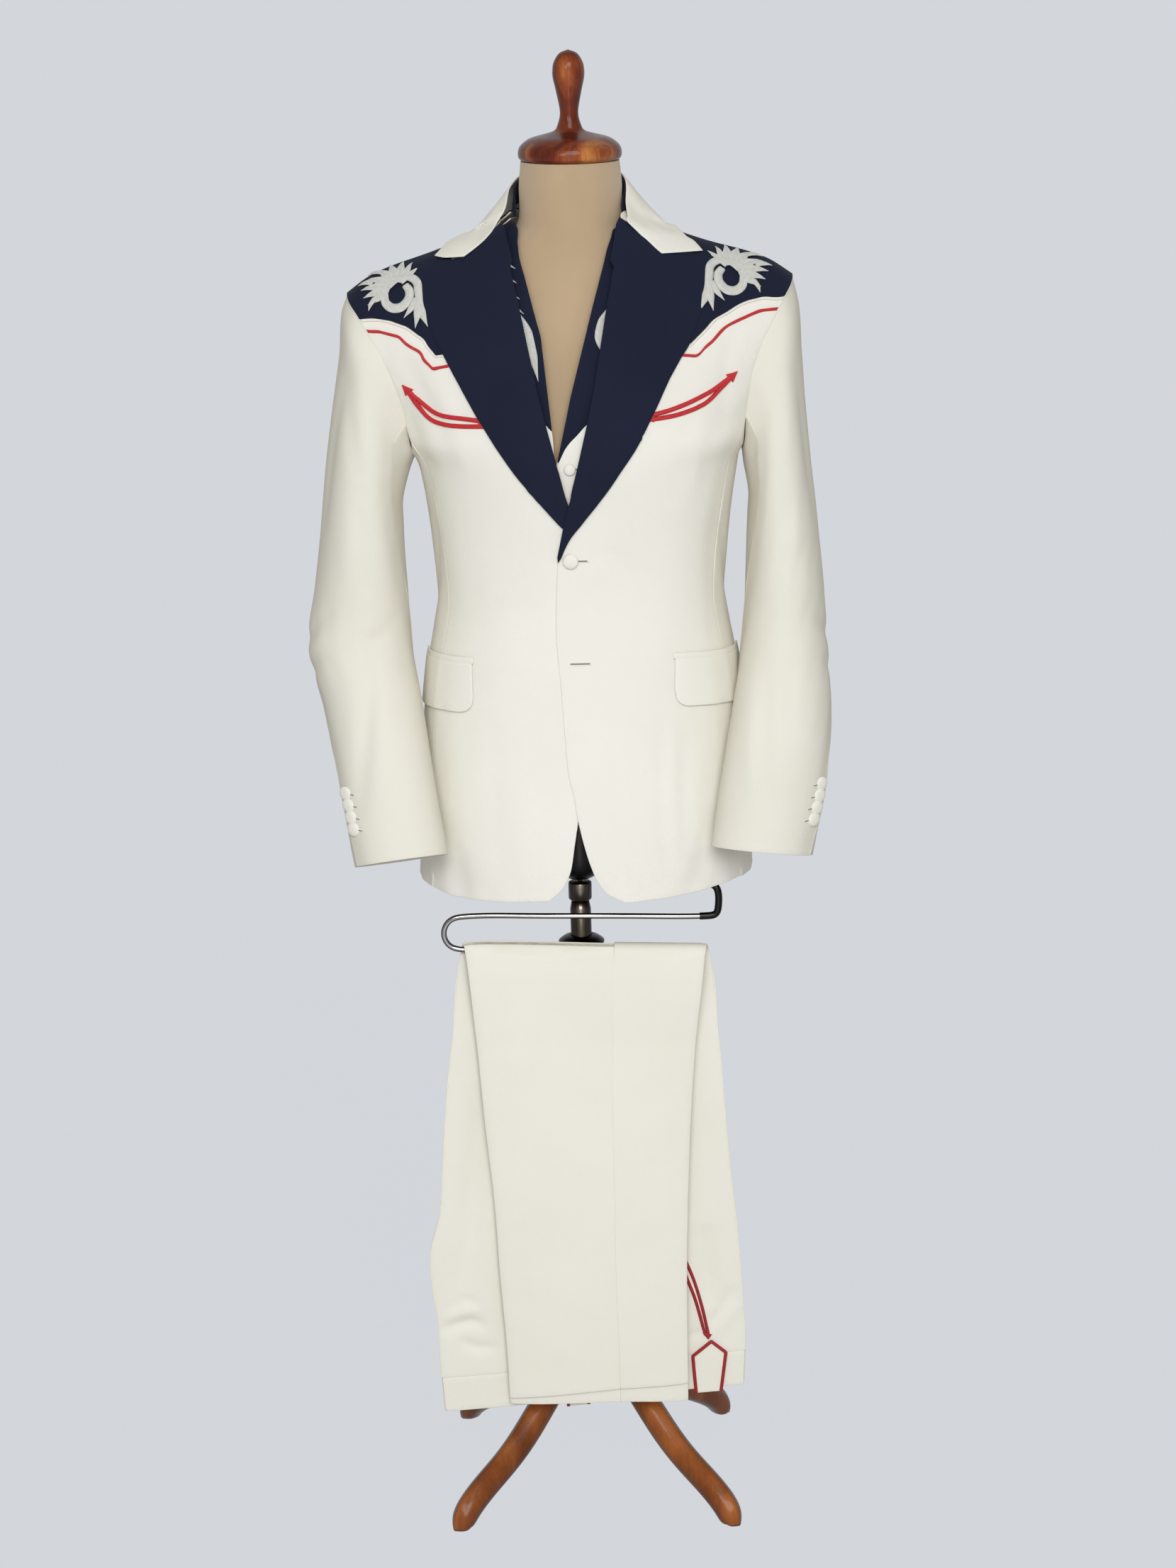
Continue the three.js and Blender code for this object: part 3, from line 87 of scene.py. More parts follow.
def sheet_area(verts, tris):
    return float(np.linalg.norm(np.cross(*sides(verts, tris)), axis=1).sum() / 2)


def joined(parts):
    """Parts as one: points, triangles and, where they have them, places on the pattern."""
    counts = np.cumsum([0] + [len(part[0]) for part in parts])
    tris = np.vstack([part[1] + count for part, count in zip(parts, counts)])
    return np.vstack([part[0] for part in parts]), tris, *map(np.vstack, zip(*(part[2:] for part in parts)))


def strip_tris(rows, columns):
    """Triangles of a grid of points, row by row."""
    i, j = (one.ravel() for one in np.meshgrid(np.arange(rows - 1), np.arange(columns - 1), indexing="ij"))
    a = i * columns + j
    b = a + columns
    return np.vstack([np.stack([a, b, b + 1], 1), np.stack([a, b + 1, a + 1], 1)])


def smooth_normals(verts, tris):
    """Normals at the points, each face counting by its angle there."""
    corners = verts[tris]
    faces = unit(np.cross(*sides(verts, tris)))
    total = np.zeros_like(verts)
    for k in range(3):
        one = unit(corners[:, (k + 1) % 3] - corners[:, k])
        two = unit(corners[:, (k + 2) % 3] - corners[:, k])
        angle = np.arccos(np.clip((one * two).sum(1), -1, 1))
        np.add.at(total, tris[:, k], faces * angle[:, None])
    return unit(total)


def all_edges(tris):
    return np.vstack([tris[:, [0, 1]], tris[:, [1, 2]], tris[:, [2, 0]]])


def border_edges(tris):
    edges = all_edges(tris)
    _, first, count = np.unique(np.sort(edges, axis=1), axis=0, return_index=True, return_counts=True)
    return edges[first[count == 1]]


def refine(verts, flat, tris, times):
    """Splits every edge in two, with its middle lifted onto the curve that the normals describe."""
    normals = smooth_normals(verts, tris)
    for _ in range(times):
        pairs, index = np.unique(np.sort(all_edges(tris), axis=1), axis=0, return_inverse=True)
        start, end = pairs.T
        span = verts[end] - verts[start]
        rise_a = (span * normals[start]).sum(1, keepdims=True)
        rise_b = -(span * normals[end]).sum(1, keepdims=True)
        middle = (verts[start] + verts[end]) / 2 - (rise_a * normals[start] + rise_b * normals[end]) / 8
        both = normals[start] + normals[end]
        size = np.maximum((span * span).sum(1, keepdims=True), 1e-18)
        turn = 2 * (span * both).sum(1, keepdims=True) / size
        ab, bc, ca = index.reshape(3, -1) + len(verts)
        a, b, c = tris.T
        tris = np.vstack([np.stack(t, 1) for t in ((a, ab, ca), (ab, b, bc), (ca, bc, c), (ab, bc, ca))])
        verts = np.vstack([verts, middle])
        flat = np.vstack([flat, (flat[start] + flat[end]) / 2])
        normals = np.vstack([normals, unit(both - turn * span / 2)])
    return verts, flat, tris


def relax(verts, tris, rounds):
    """Evens out what is left of the facets. A border is evened along itself, and its corners stay."""
    rim = border_edges(tris)
    on_rim = np.zeros(len(verts), bool)
    on_rim[rim.ravel()] = True
    pairs = np.vstack([all_edges(tris), rim[:, ::-1]])
    pairs = np.unique(np.vstack([pairs, pairs[:, ::-1]]), axis=0)
    pairs = np.vstack([pairs[~on_rim[pairs[:, 0]]], rim, rim[:, ::-1]])
    count = np.bincount(pairs[:, 0], minlength=len(verts))[:, None]
    ahead, back = np.zeros_like(verts), np.zeros_like(verts)
    ahead[rim[:, 0]] = unit(verts[rim[:, 1]] - verts[rim[:, 0]])
    back[rim[:, 1]] = unit(verts[rim[:, 1]] - verts[rim[:, 0]])
    held = on_rim & ((ahead * back).sum(1) < math.cos(CORNER))
    for step in [0.5, -0.52] * rounds:
        normals = smooth_normals(verts, tris)
        total = np.stack([np.bincount(pairs[:, 0], verts[pairs[:, 1], k], len(verts)) for k in range(3)], 1)
        shift = ((total / np.maximum(count, 1) - verts) * normals).sum(1) * step
        verts = verts + np.where(held, 0, shift)[:, None] * normals
    return verts


def distance_to(points, start, end):
    """How far points are from the nearest of some straight spans."""
    span = end - start
    size = np.maximum((span * span).sum(1), 1e-18)
    out = np.empty(len(points))
    for low in range(0, len(points), 2000):
        rest = points[low:low + 2000, None] - start
        share = np.clip((rest * span).sum(2) / size, 0, 1)
        out[low:low + 2000] = np.sqrt(((rest - share[..., None] * span) ** 2).sum(2).min(1))
    return out


# ---------- outlines and flat patterns ----------
def border_loops(tris):
    """The outlines of a sheet, as rings of points with the sheet on their left."""
    follow = {int(a): int(b) for a, b in border_edges(tris)}
    loops = []
    while follow:
        start, here = follow.popitem()
        loop = [start]
        while here != start:
            loop.append(here)
            here = follow.pop(here)
        loops.append(loop)
    return loops


def eased(outline, step, corner):
    """Points on a smooth curve through an outline, which keeps its sharp corners."""
    points = np.array(outline, float)
    apart = np.linalg.norm(np.roll(points, -1, 0) - points, axis=1)
    points = points[apart > 0.0006]
    span = np.roll(points, -1, 0) - points
    size = np.linalg.norm(span, axis=1)[:, None]
    before, size_before = np.roll(span, 1, 0), np.roll(size, 1, 0)
    sharp = (unit(span) * unit(before)).sum(1) < math.cos(corner)
    along = unit(unit(before) * size + unit(span) * size_before)
    leave = np.where(sharp[:, None], unit(span), along) * size
    reach = np.where(np.roll(sharp, -1)[:, None], unit(span), np.roll(along, -1, 0)) * size
    out = []
    for k in range(len(points)):
        count = max(1, int(round(size[k, 0] / step)))
        t = (np.arange(count) / count)[:, None]
        end = points[(k + 1) % len(points)]
        out.append((2 * t ** 3 - 3 * t ** 2 + 1) * points[k] + (t ** 3 - 2 * t ** 2 + t) * leave[k]
                   + (3 * t ** 2 - 2 * t ** 3) * end + (t ** 3 - t ** 2) * reach[k])
    return np.vstack(out)


def taken_in(outline, much):
    """An outline moved inwards; outwards where much is less than nothing."""
    one, two = unit(outline - np.roll(outline, 1, 0)), unit(np.roll(outline, -1, 0) - outline)
    inward = unit(one + two)[:, ::-1] * (-1, 1)
    miter = 1 / np.clip(np.sqrt((1 + (one * two).sum(1)) / 2), 0.5, 1)
    return outline + inward * (much * miter)[:, None]


def inside(points, start, end):
    """Which points lie within an outline, holes left out."""
    crossings = np.zeros(len(points), int)
    for (x1, y1), (x2, y2) in zip(start, end):
        if y1 != y2:
            between = (y1 > points[:, 1]) != (y2 > points[:, 1])
            crossings += between & (points[:, 0] < x1 + (points[:, 1] - y1) * (x2 - x1) / (y2 - y1))
    return crossings % 2 == 1


def filled(loops, step):
    """Even triangles within flat outlines."""
    border = np.vstack(loops)
    starts = np.cumsum([0] + [len(loop) for loop in loops])
    nexts = np.concatenate([np.roll(np.arange(a, b), -1) for a, b in zip(starts[:-1], starts[1:])])
    low, high = border.min(0), border.max(0)
    rows = np.arange(low[1], high[1], step * 0.866)
    columns = np.arange(low[0] - step, high[0], step)
    grid = np.array([(x + (step / 2 if k % 2 else 0), y) for k, y in enumerate(rows) for x in columns])
    grid = grid[inside(grid, border, border[nexts])]
    if len(grid):
        grid = grid[distance_to(grid, border, border[nexts]) > 0.6 * step]
    points = np.vstack([border, grid.reshape(-1, 2)])
    rim = list(enumerate(nexts.tolist()))
    made = geometry.delaunay_2d_cdt([Vector(p) for p in points], rim, [], 1, 1e-8)
    flat, tris = np.array([tuple(v) for v in made[0]]), np.array(made[2])
    tris = tris[inside(flat[tris].mean(1), border, border[nexts])]
    turned_over = flat_cross(*sides(flat, tris)) < 0
    tris[turned_over] = tris[turned_over][:, ::-1]
    return flat, tris


def flat_pattern(verts, tris, guide):
    """A sheet's pattern: its points laid flat at true size, turned so that the guide rises up it."""
    piece = make_object("pattern", verts, tris, np.zeros((len(verts), 2)))
    select_only(piece)
    bpy.ops.object.mode_set(mode="EDIT")
    bpy.ops.mesh.select_all(action="SELECT")
    bpy.ops.uv.unwrap(method="ANGLE_BASED", margin=0)
    bpy.ops.object.mode_set(mode="OBJECT")
    corners = np.empty(len(piece.data.loops), np.int32)
    piece.data.loops.foreach_get("vertex_index", corners)
    places = np.empty(2 * len(corners), np.float32)
    piece.data.uv_layers[0].data.foreach_get("uv", places)
    flat = np.zeros((len(verts), 2))
    flat[corners] = places.reshape(-1, 2)
    bpy.data.objects.remove(piece)
    double = flat_cross(*sides(flat, tris))
    slope = np.array([part.sum() for part in slopes(flat, guide[:, None], tris)[:, :, 0].T])
    up = slope / np.linalg.norm(slope)
    flat = np.stack([flat[:, 0] * up[1] - flat[:, 1] * up[0], flat[:, 0] * up[0] + flat[:, 1] * up[1]], 1)
    return flat * math.sqrt(sheet_area(verts, tris) * 2 / np.abs(double).sum())


def tree_of(verts, tris):
    return BVHTree.FromPolygons([tuple(v) for v in verts], [tuple(int(i) for i in t) for t in tris])


def lifted(flat, coarse, coarse_flat, coarse_tris):
    """Places on a coarse sheet for points of its pattern, those just outside it too."""
    tree = tree_of(np.column_stack([coarse_flat, np.zeros(len(coarse_flat))]), coarse_tris)
    found = [tree.find_nearest((x, y, 0)) for x, y in flat]
    near = np.array([hit[0][:2] for hit in found])
    corners = coarse_tris[[hit[2] for hit in found]]
    a, b, c = (coarse_flat[corners[:, k]] for k in range(3))
    whole = flat_cross(b - a, c - a)
    share_b, share_c = flat_cross(near - a, c - a) / whole, flat_cross(b - a, near - a) / whole
    shares = np.clip(np.stack([1 - share_b - share_c, share_b, share_c], 1), 0, 1)
    across, weight = np.zeros((len(coarse), 2, 3)), np.zeros(len(coarse))
    for k in range(3):
        np.add.at(across, coarse_tris[:, k], slopes(coarse_flat, coarse, coarse_tris))
        np.add.at(weight, coarse_tris[:, k], flat_cross(*sides(coarse_flat, coarse_tris)))
    across /= weight[:, None, None]
    here = (coarse[corners] * shares[..., None]).sum(1)
    slope = (across[corners] * shares[..., None, None]).sum(1)
    return here + ((flat - near)[:, :, None] * slope).sum(1)


def laid(verts, sheets, height):
    """Moves points along the normals of the sheets beneath them, to lie at a height over them."""
    tree, out = tree_of(*joined(sheets)), []
    for point, lift in zip(verts, np.broadcast_to(height, len(verts))):
        near, normal, _, _ = tree.find_nearest(point)
        out.append(point + np.array(normal) * (lift - float(normal.dot(Vector(point) - near))))
    return np.array(out)


# ---------- sheets taken from the solids ----------
def axis_at(points, z):
    table = np.array(points, float)
    order = np.argsort(table[:, 2])
    table = table[order]
    return np.stack([np.interp(z, table[:, 2], table[:, k]) for k in (0, 1)], 1)


def round_axis(points):
    """Outward from an upright axis."""
    def outward(where):
        out = np.zeros_like(where)
        out[:, :2] = where[:, :2] - axis_at(points, where[:, 2])
        return unit(out)
    return outward


def off_the_bar(where):
    """Outward from the plane between the two falls of the trousers."""
    out = np.zeros_like(where)
    out[:, 1] = where[:, 1] - (BAR_Y - FALL_LEAN * (BAR_Z - where[:, 2]))
    out[:, 2] = np.where(where[:, 2] > BAR_Z, where[:, 2] - BAR_Z, 0)
    return unit(out)


def outer_sheet(node, outward, sharp=42):
    """The outer face of a CAD wall, whose faces are parted at its sharp edges."""
    bm = bmesh.new()
    bm.from_mesh(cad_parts[node].data)
    bmesh.ops.remove_doubles(bm, verts=bm.verts, dist=SAME_PLACE)
    bmesh.ops.triangulate(bm, faces=bm.faces)
    bm.faces.ensure_lookup_table()
    bm.verts.index_update()
    seen, patches = set(), []
    for face in bm.faces:
        if face.index in seen:
            continue
        seen.add(face.index)
        stack, patch = [face], []
        while stack:
            one = stack.pop()
            patch.append(one)
            for edge in one.edges:
                if len(edge.link_faces) == 2 and edge.calc_face_angle(0) < math.radians(sharp):
                    for other in edge.link_faces:
                        if other.index not in seen:
                            seen.add(other.index)
                            stack.append(other)
        patches.append(patch)
    verts = np.array([v.co for v in bm.verts])
    total = sum(f.calc_area() for f in bm.faces)
    tris = []
    for patch in patches:
        areas = np.array([f.calc_area() for f in patch])
        toward = outward(np.array([f.calc_center_median() for f in patch]))
        facing = ((np.array([f.normal for f in patch]) * toward).sum(1) * areas).sum() / areas.sum()
        share = areas.sum() / total
        if (facing > 0.45 and share > 0.04) or (facing > 0 and share > 0.3):
            tris += [[v.index for v in f.verts] for f in patch]
    bm.free()
    used, tris = np.unique(np.array(tris), return_inverse=True)
    return verts[used], tris.reshape(-1, 3)


def placed(name, data):
    """A new object in the scene."""
    thing = bpy.data.objects.new(name, data)
    bpy.context.scene.collection.objects.link(thing)
    return thing


def set_uv(mesh, places):
    """Gives each corner of a mesh the place of its point."""
    layer = mesh.uv_layers.new(name="UVMap")
    loops = np.empty(len(mesh.loops), np.int32)
    mesh.loops.foreach_get("vertex_index", loops)
    layer.data.foreach_set("uv", places[loops].astype(np.float32).ravel())


def finished(piece, material, node=None):
    """A piece with its finish, which may stand for a CAD node."""
    piece.data.materials.append(material)
    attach(piece, "root")
    if node:
        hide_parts(node)
    return piece


def make_object(name, verts, tris, uv=None):
    mesh = bpy.data.meshes.new(name)
    mesh.from_pydata([tuple(v) for v in verts], [], [tuple(int(i) for i in t) for t in tris])
    mesh.validate()
    mesh.polygons.foreach_set("use_smooth", [True] * len(mesh.polygons))
    if uv is not None:
        set_uv(mesh, uv)
    return placed(name, mesh)


def select_only(piece):
    bpy.ops.object.select_all(action="DESELECT")
    piece.select_set(True)
    bpy.context.view_layer.objects.active = piece


def walled(verts, tris, flat, thickness, ring=4):
    """Gives a sheet its wall, inwards from its outer face, with a rounded rim all round."""
    count = len(verts)
    normals = smooth_normals(verts, tris)
    edge = border_edges(tris)
    places, index = np.unique(edge, return_inverse=True)
    index = index.reshape(-1, 2)
    sideways = np.zeros((len(places), 3))
    push = np.cross(verts[edge[:, 1]] - verts[edge[:, 0]], normals[edge].sum(1))
    np.add.at(sideways, index[:, 0], push)
    np.add.at(sideways, index[:, 1], push)
    sideways = unit(sideways)
    radius = thickness / 2
    centre = verts[places] - normals[places] * radius
    rings = [centre + radius * (math.cos(turn) * normals[places] + math.sin(turn) * sideways)
             for turn in np.linspace(0, math.pi, ring + 2)[1:-1]]
    flats = [flat[places]] * ring
    steps = [edge] + [index + 2 * count + k * len(places) for k in range(ring)] + [edge + count]
    rim = []
    for one, two in zip(steps[:-1], steps[1:]):
        rim += [np.stack([one[:, 1], one[:, 0], two[:, 0]], 1),
                np.stack([one[:, 1], two[:, 0], two[:, 1]], 1)]
    verts = np.vstack([verts, verts - normals * thickness] + rings)
    return verts, np.vstack([tris, tris[:, ::-1] + count] + rim), np.vstack([flat, flat] + flats)


def finish_wall(name, verts, tris, flat, thickness, material, node, ring=4):
    """The piece itself, which stands for its node."""
    piece = make_object(name, *walled(verts, tris, flat, thickness, ring))
    select_only(piece)
    bpy.ops.object.shade_smooth_by_angle(angle=math.radians(60))
    return finished(piece, material, node)


def spun(name, profile, steps):
    """A turned shape about the upright through the origin."""
    mesh = bpy.data.meshes.new(name)
    mesh.from_pydata([(r, 0, z) for r, z in profile], [(k, k + 1) for k in range(len(profile) - 1)], [])
    piece = placed(name, mesh)
    select_only(piece)
    bpy.ops.object.mode_set(mode="EDIT")
    bpy.ops.mesh.select_all(action="SELECT")
    bpy.ops.mesh.spin(steps=steps, angle=2 * math.pi, center=(0, 0, 0), axis=(0, 0, 1))
    bpy.ops.mesh.select_all(action="SELECT")
    bpy.ops.mesh.remove_doubles(threshold=1e-6)
    bpy.ops.mesh.normals_make_consistent(inside=False)
    bpy.ops.object.mode_set(mode="OBJECT")
    bpy.ops.object.shade_smooth_by_angle(angle=math.radians(40))
    return piece


def smooth_line(points, per=8):
    """A smooth line through the given points."""
    points = np.array(points, float)
    ends = np.vstack([2 * points[0] - points[1], points, 2 * points[-1] - points[-2]])
    line = []
    for before, start, end, after in zip(ends, ends[1:], ends[2:], ends[3:]):
        for t in np.arange(per) / per:
            bend = (2 * before - 5 * start + 4 * end - after) * t ** 2
            twist = (3 * start - before - 3 * end + after) * t ** 3
            line.append(0.5 * (2 * start + (end - before) * t + bend + twist))
    return np.array(line + [points[-1]])


def curve_through(points, per=8):
    """A smooth profile through the given points, none past the axis."""
    return [(max(float(r), 0.0), float(z)) for r, z in smooth_line(points, per)]


def sewn(name, parts, material):
    """Thread work as one piece."""
    finished(make_object(name, *joined(parts)), material)


def evenly(points, step):
    """Points at even steps along a line."""
    points = np.array(points, float)
    run = np.concatenate([[0], np.cumsum(np.linalg.norm(np.diff(points, axis=0), axis=1))])
    where = np.linspace(0, run[-1], max(2, int(run[-1] / step) + 1))
    return np.stack([np.interp(where, run, points[:, k]) for k in range(points.shape[1])], 1)


# ---------- folds and drape ----------
# Which axes run across and up a view, and the way that it looks back along.
VIEWS = {
    "front": (0, 2, (0, -1, 0)),
    "back": (0, 2, (0, 1, 0)),
    "left": (1, 2, (-1, 0, 0)),
    "right": (1, 2, (1, 0, 0)),
}


def fold_height(verts, normals, folds):
    """Height of listed folds, in metres. Each has its depth, its half width and its line, in millimetres, as
    seen in one view."""
    lift = np.zeros(len(verts))
    for view, depth, width, line in [(view, *fold) for view in folds for fold in folds[view]]:
        across, up, toward = VIEWS[view]
        flat = verts[:, [across, up]] * 1000
        line = np.array(line, float)
        spans = np.diff(line, axis=0)
        runs = np.linalg.norm(spans, axis=1)
        before = np.concatenate([[0], np.cumsum(runs)])
        best = np.full(len(verts), 1e9)
        along = np.zeros(len(verts))
        for k, (start, span, run) in enumerate(zip(line[:-1], spans, runs)):
            share = np.clip(((flat - start) @ span) / run ** 2, 0, 1)
            distance = np.linalg.norm(flat - start - share[:, None] * span, axis=1)
            nearer = distance < best
            best[nearer] = distance[nearer]
            along[nearer] = ((before[k] + share * run) / before[-1])[nearer]
        taper = np.sin(np.pi * np.clip(along, 0, 1)) ** 0.6
        facing = np.clip(normals @ np.array(toward, float), 0, 1)
        lift += depth * np.exp(-(best / width) ** 2) * taper * facing
    return lift / 1000


def drape(verts, amount):
    """Slow unevenness of cloth that hangs, longer down than across."""
    x, y, z = verts.T
    wave = (np.sin(23 * x + 2.1 * np.sin(5.3 * z) + 0.4)
            + 0.7 * np.sin(41 * x - 6.7 * z + 1.9 * np.sin(17 * y))
            + 0.6 * np.sin(37 * y + 4.1 * z + 1.3)
            + 0.4 * np.sin(71 * x + 13 * z + 2.2 * np.sin(9 * z)))
    return amount / 1000 * wave / 2.7


JACKET_FOLDS = {
    "front": [
        (-3.2, 11, [(-178, 1215), (-163, 1174), (-160, 1121), (-149, 1063), (-146, 1010)]),
        (-1.6, 9, [(-184, 1320), (-170, 1288), (-155, 1254), (-140, 1222)]),
        (-1.4, 8, [(-192, 1270), (-176, 1240), (-158, 1200), (-140, 1170)]),
        (1.2, 10, [(-150, 1290), (-128, 1240), (-118, 1180)]),
        (-1.5, 9, [(170, 1335), (161, 1298), (157, 1266), (160, 1225)]),
        (-2.6, 11, [(172, 1190), (158, 1150), (147, 1101), (150, 1050), (156, 1000)]),
        (1.0, 9, [(140, 1260), (128, 1200), (122, 1140)]),
        (-1.0, 9, [(88, 930), (85, 868), (88, 789), (92, 730)]),
        (0.9, 8, [(99, 940), (98, 860), (101, 770)]),
        (-1.1, 8, [(111, 900), (109, 835), (112, 765)]),
        (-0.9, 12, [(-92, 930), (-96, 850), (-92, 760)]),
        (0.8, 12, [(-60, 900), (-66, 820), (-64, 720)]),
        (-3.0, 13, [(-158, 810), (-143, 765), (-132, 728), (-124, 700)]),
        (-2.4, 12, [(150, 815), (134, 775), (124, 735), (120, 705)]),
        (-0.8, 14, [(-40, 1075), (-52, 1030), (-58, 980)]),
        (-0.9, 12, [(26, 1110), (48, 1085), (76, 1070)]),
    ],
    "back": [
        (-2.4, 12, [(-150, 1200), (-128, 1130), (-120, 1040), (-126, 960)]),
        (-2.2, 12, [(150, 1200), (130, 1130), (118, 1045), (128, 960)]),
        (-1.6, 10, [(-178, 1300), (-150, 1262), (-112, 1240)]),
        (-1.6, 10, [(176, 1300), (150, 1258), (108, 1236)]),
        (1.4, 14, [(-76, 1190), (-70, 1080), (-74, 960)]),
        (1.4, 14, [(74, 1190), (68, 1080), (78, 960)]),
        (-1.5, 10, [(-60, 900), (-66, 820), (-62, 730)]),
        (-1.3, 10, [(66, 900), (62, 820), (70, 730)]),
    ],
    "left": [
        (-2.0, 10, [(-40, 1130), (-20, 1060), (10, 1020)]),
    ],
    "right": [
        (-2.0, 10, [(-44, 1125), (-18, 1062), (12, 1025)]),
    ],
}
SLEEVE_FOLDS = {
    "left": {
        "front": [
            (-3.4, 10, [(-221, 1010), (-229, 930), (-236, 871), (-243, 812)]),
            (-2.2, 9, [(-243, 1300), (-241, 1250), (-236, 1200), (-228, 1150)]),
            (-2.0, 11, [(-236, 1172), (-228, 1111), (-226, 1048)]),
            (1.4, 10, [(-205, 1240), (-206, 1160), (-204, 1080), (-204, 1010)]),
            (1.2, 9, [(-207, 980), (-212, 900), (-219, 830)]),
            (-1.6, 8, [(-190, 1030), (-214, 1006), (-240, 1000)]),
        ],
        "left": [
            (-2.6, 10, [(-70, 1040), (-30, 1000), (14, 985)]),
            (-2.2, 9, [(-64, 985), (-28, 960), (10, 962)]),
            (-2.4, 11, [(-40, 1290), (-34, 1200), (-30, 1110)]),
        ],
        "back": [
            (-2.4, 10, [(-262, 1020), (-236, 996), (-206, 1002)]),
            (-2.0, 11, [(-212, 1250), (-214, 1160), (-222, 1080)]),
            (-1.8, 10, [(-240, 930), (-236, 870), (-232, 810)]),
        ],
    },
    "right": {
        "front": [
            (-3.0, 10, [(203, 985), (197, 930), (196, 865), (205, 800)]),
            (-2.2, 10, [(219, 1290), (219, 1225), (221, 1148), (225, 1071)]),
            (1.6, 9, [(196, 1250), (197, 1160), (195, 1060)]),
            (-1.6, 9, [(226, 1010), (222, 950), (224, 890)]),
            (1.2, 8, [(184, 960), (181, 880), (183, 815)]),
        ],
        "right": [
            (-2.4, 10, [(-80, 1030), (-34, 994), (8, 980)]),
            (-2.0, 9, [(-76, 975), (-36, 952), (2, 956)]),
            (-2.2, 11, [(-42, 1290), (-36, 1200), (-34, 1110)]),
        ],
        "back": [
            (-2.2, 10, [(252, 1010), (226, 990), (196, 998)]),
            (-2.0, 11, [(206, 1250), (208, 1160), (214, 1080)]),
            (-1.8, 10, [(226, 930), (222, 870), (216, 810)]),
        ],
    },
}
TROUSER_FOLDS = {
    "front": [
        (0.8, 4.5, [(30, 640), (29, 500), (28, 413), (28, 279), (28, 143)]),
        (-0.9, 26, [(-60, 560), (-66, 420), (-60, 280)]),
        (0.8, 22, [(80, 540), (86, 400), (80, 260)]),
    ],
    "back": [
        (4.5, 14, [(-118, 500), (-128, 400), (-136, 310), (-146, 245)]),
        (3.2, 6.5, [(-170, 207), (-156, 217), (-136, 222), (-118, 214)]),
        (2.6, 6, [(-150, 198), (-129, 190), (-106, 191)]),
        (-1.6, 6, [(-166, 222), (-146, 232), (-122, 233)]),
        (1.8, 5.5, [(-160, 238), (-143, 246), (-126, 244)]),
        (3.2, 11, [(129, 330), (131, 278), (134, 232)]),
        (2.4, 6, [(160, 256), (144, 228), (128, 206)]),
        (-1.4, 6, [(166, 240), (150, 216), (136, 200)]),
        (1.8, 5, [(100, 194), (114, 202), (128, 205)]),
        (1.2, 24, [(-20, 560), (-10, 400), (-16, 260)]),
        (-1.2, 20, [(60, 560), (70, 420), (64, 300)]),
    ],
}
MADE = {}               # the outer face of each sheet made so far


def pattern_sheet(node, outward, step, inset, guide, rounds, sharp=42, corner=CORNER, let_out=None):
    """A solid's outer face made anew: its pattern filled with even triangles and taken back to its form."""
    verts, tris = outer_sheet(node, outward, sharp)
    flat = flat_pattern(verts, tris, verts[:, guide])
    outlines = [eased(flat[loop], step * 0.7, corner) for loop in border_loops(tris)]
    coarse, coarse_flat, coarse_tris = refine(verts, flat, tris, 2)
    insets = [inset - (let_out(lifted(outline, coarse, coarse_flat, coarse_tris)) if let_out else 0)
              for outline in outlines]
    flat, tris = filled([taken_in(outline, much) for outline, much in zip(outlines, insets)], step)
    return relax(lifted(flat, coarse, coarse_flat, coarse_tris), tris, rounds), flat, tris


def cloth(node, material, outward, step=0.0045, thickness=CLOTH, folds=(), uneven=0.0, rounds=12,
          guide=2, inset=0.0004, on=(), height=0.0, reshape=None,
          sharp=42, let_out=None):
    """One piece of cloth on its solid's form, with its folds, as a thin wall."""
    verts, flat, tris = pattern_sheet(node, outward, step, inset, guide, rounds, sharp, let_out=let_out)
    if on:
        verts = relax(laid(verts, [MADE[name] for name in on], height + thickness), tris, 2)
    else:
        normals = smooth_normals(verts, tris)
        verts = verts + normals * (fold_height(verts, normals, folds) + drape(verts, uneven))[:, None]
    if reshape:
        verts = reshape(verts, flat, tris)
    MADE[node] = (verts, tris)
    MADE[f"{node}_inside"] = (verts - smooth_normals(verts, tris) * thickness, tris[:, ::-1])
    piece = finish_wall(f"{node}_cloth", verts, tris, flat, thickness, material, node)
    width, length = np.ptp(flat, axis=0)
    area = sheet_area(verts, tris)
    if min(width, length) > 0.02:
        length = max(length, area / width * 1.02)


def trim(node, material, outward, radius, height, on, inset=0.0):
    """Piping or cord laid on a panel: a strip with a round back."""
    verts, flat, tris = pattern_sheet(node, outward, 0.0008, inset, 2, 2, corner=math.radians(52))
    rim = border_edges(tris)
    near = np.clip(distance_to(flat, flat[rim[:, 0]], flat[rim[:, 1]]) / radius, 0, 1)
    round_back = np.sqrt(1 - (1 - near) ** 2)
    verts = laid(verts, [MADE[name] for name in on], 0.0003 + height * round_back)
    MADE[node] = (verts, tris)
    finish_wall(f"{node}_trim", verts, tris, flat, 0.0003, material, node, ring=1)


# ---------- node groups ----------
def node_group(name, title, value, outputs):
    """A group that takes a vector and one number and gives values."""
    group = bpy.data.node_groups.new(name, "ShaderNodeTree")
    group.interface.new_socket("Vector", in_out="INPUT", socket_type="NodeSocketVector")
    group.interface.new_socket(title, in_out="INPUT", socket_type="NodeSocketFloat").default_value = value
    for given in outputs:
        group.interface.new_socket(given, in_out="OUTPUT", socket_type="NodeSocketFloat")
    return group, group.nodes.new("NodeGroupInput").outputs, group.nodes.new("NodeGroupOutput").inputs


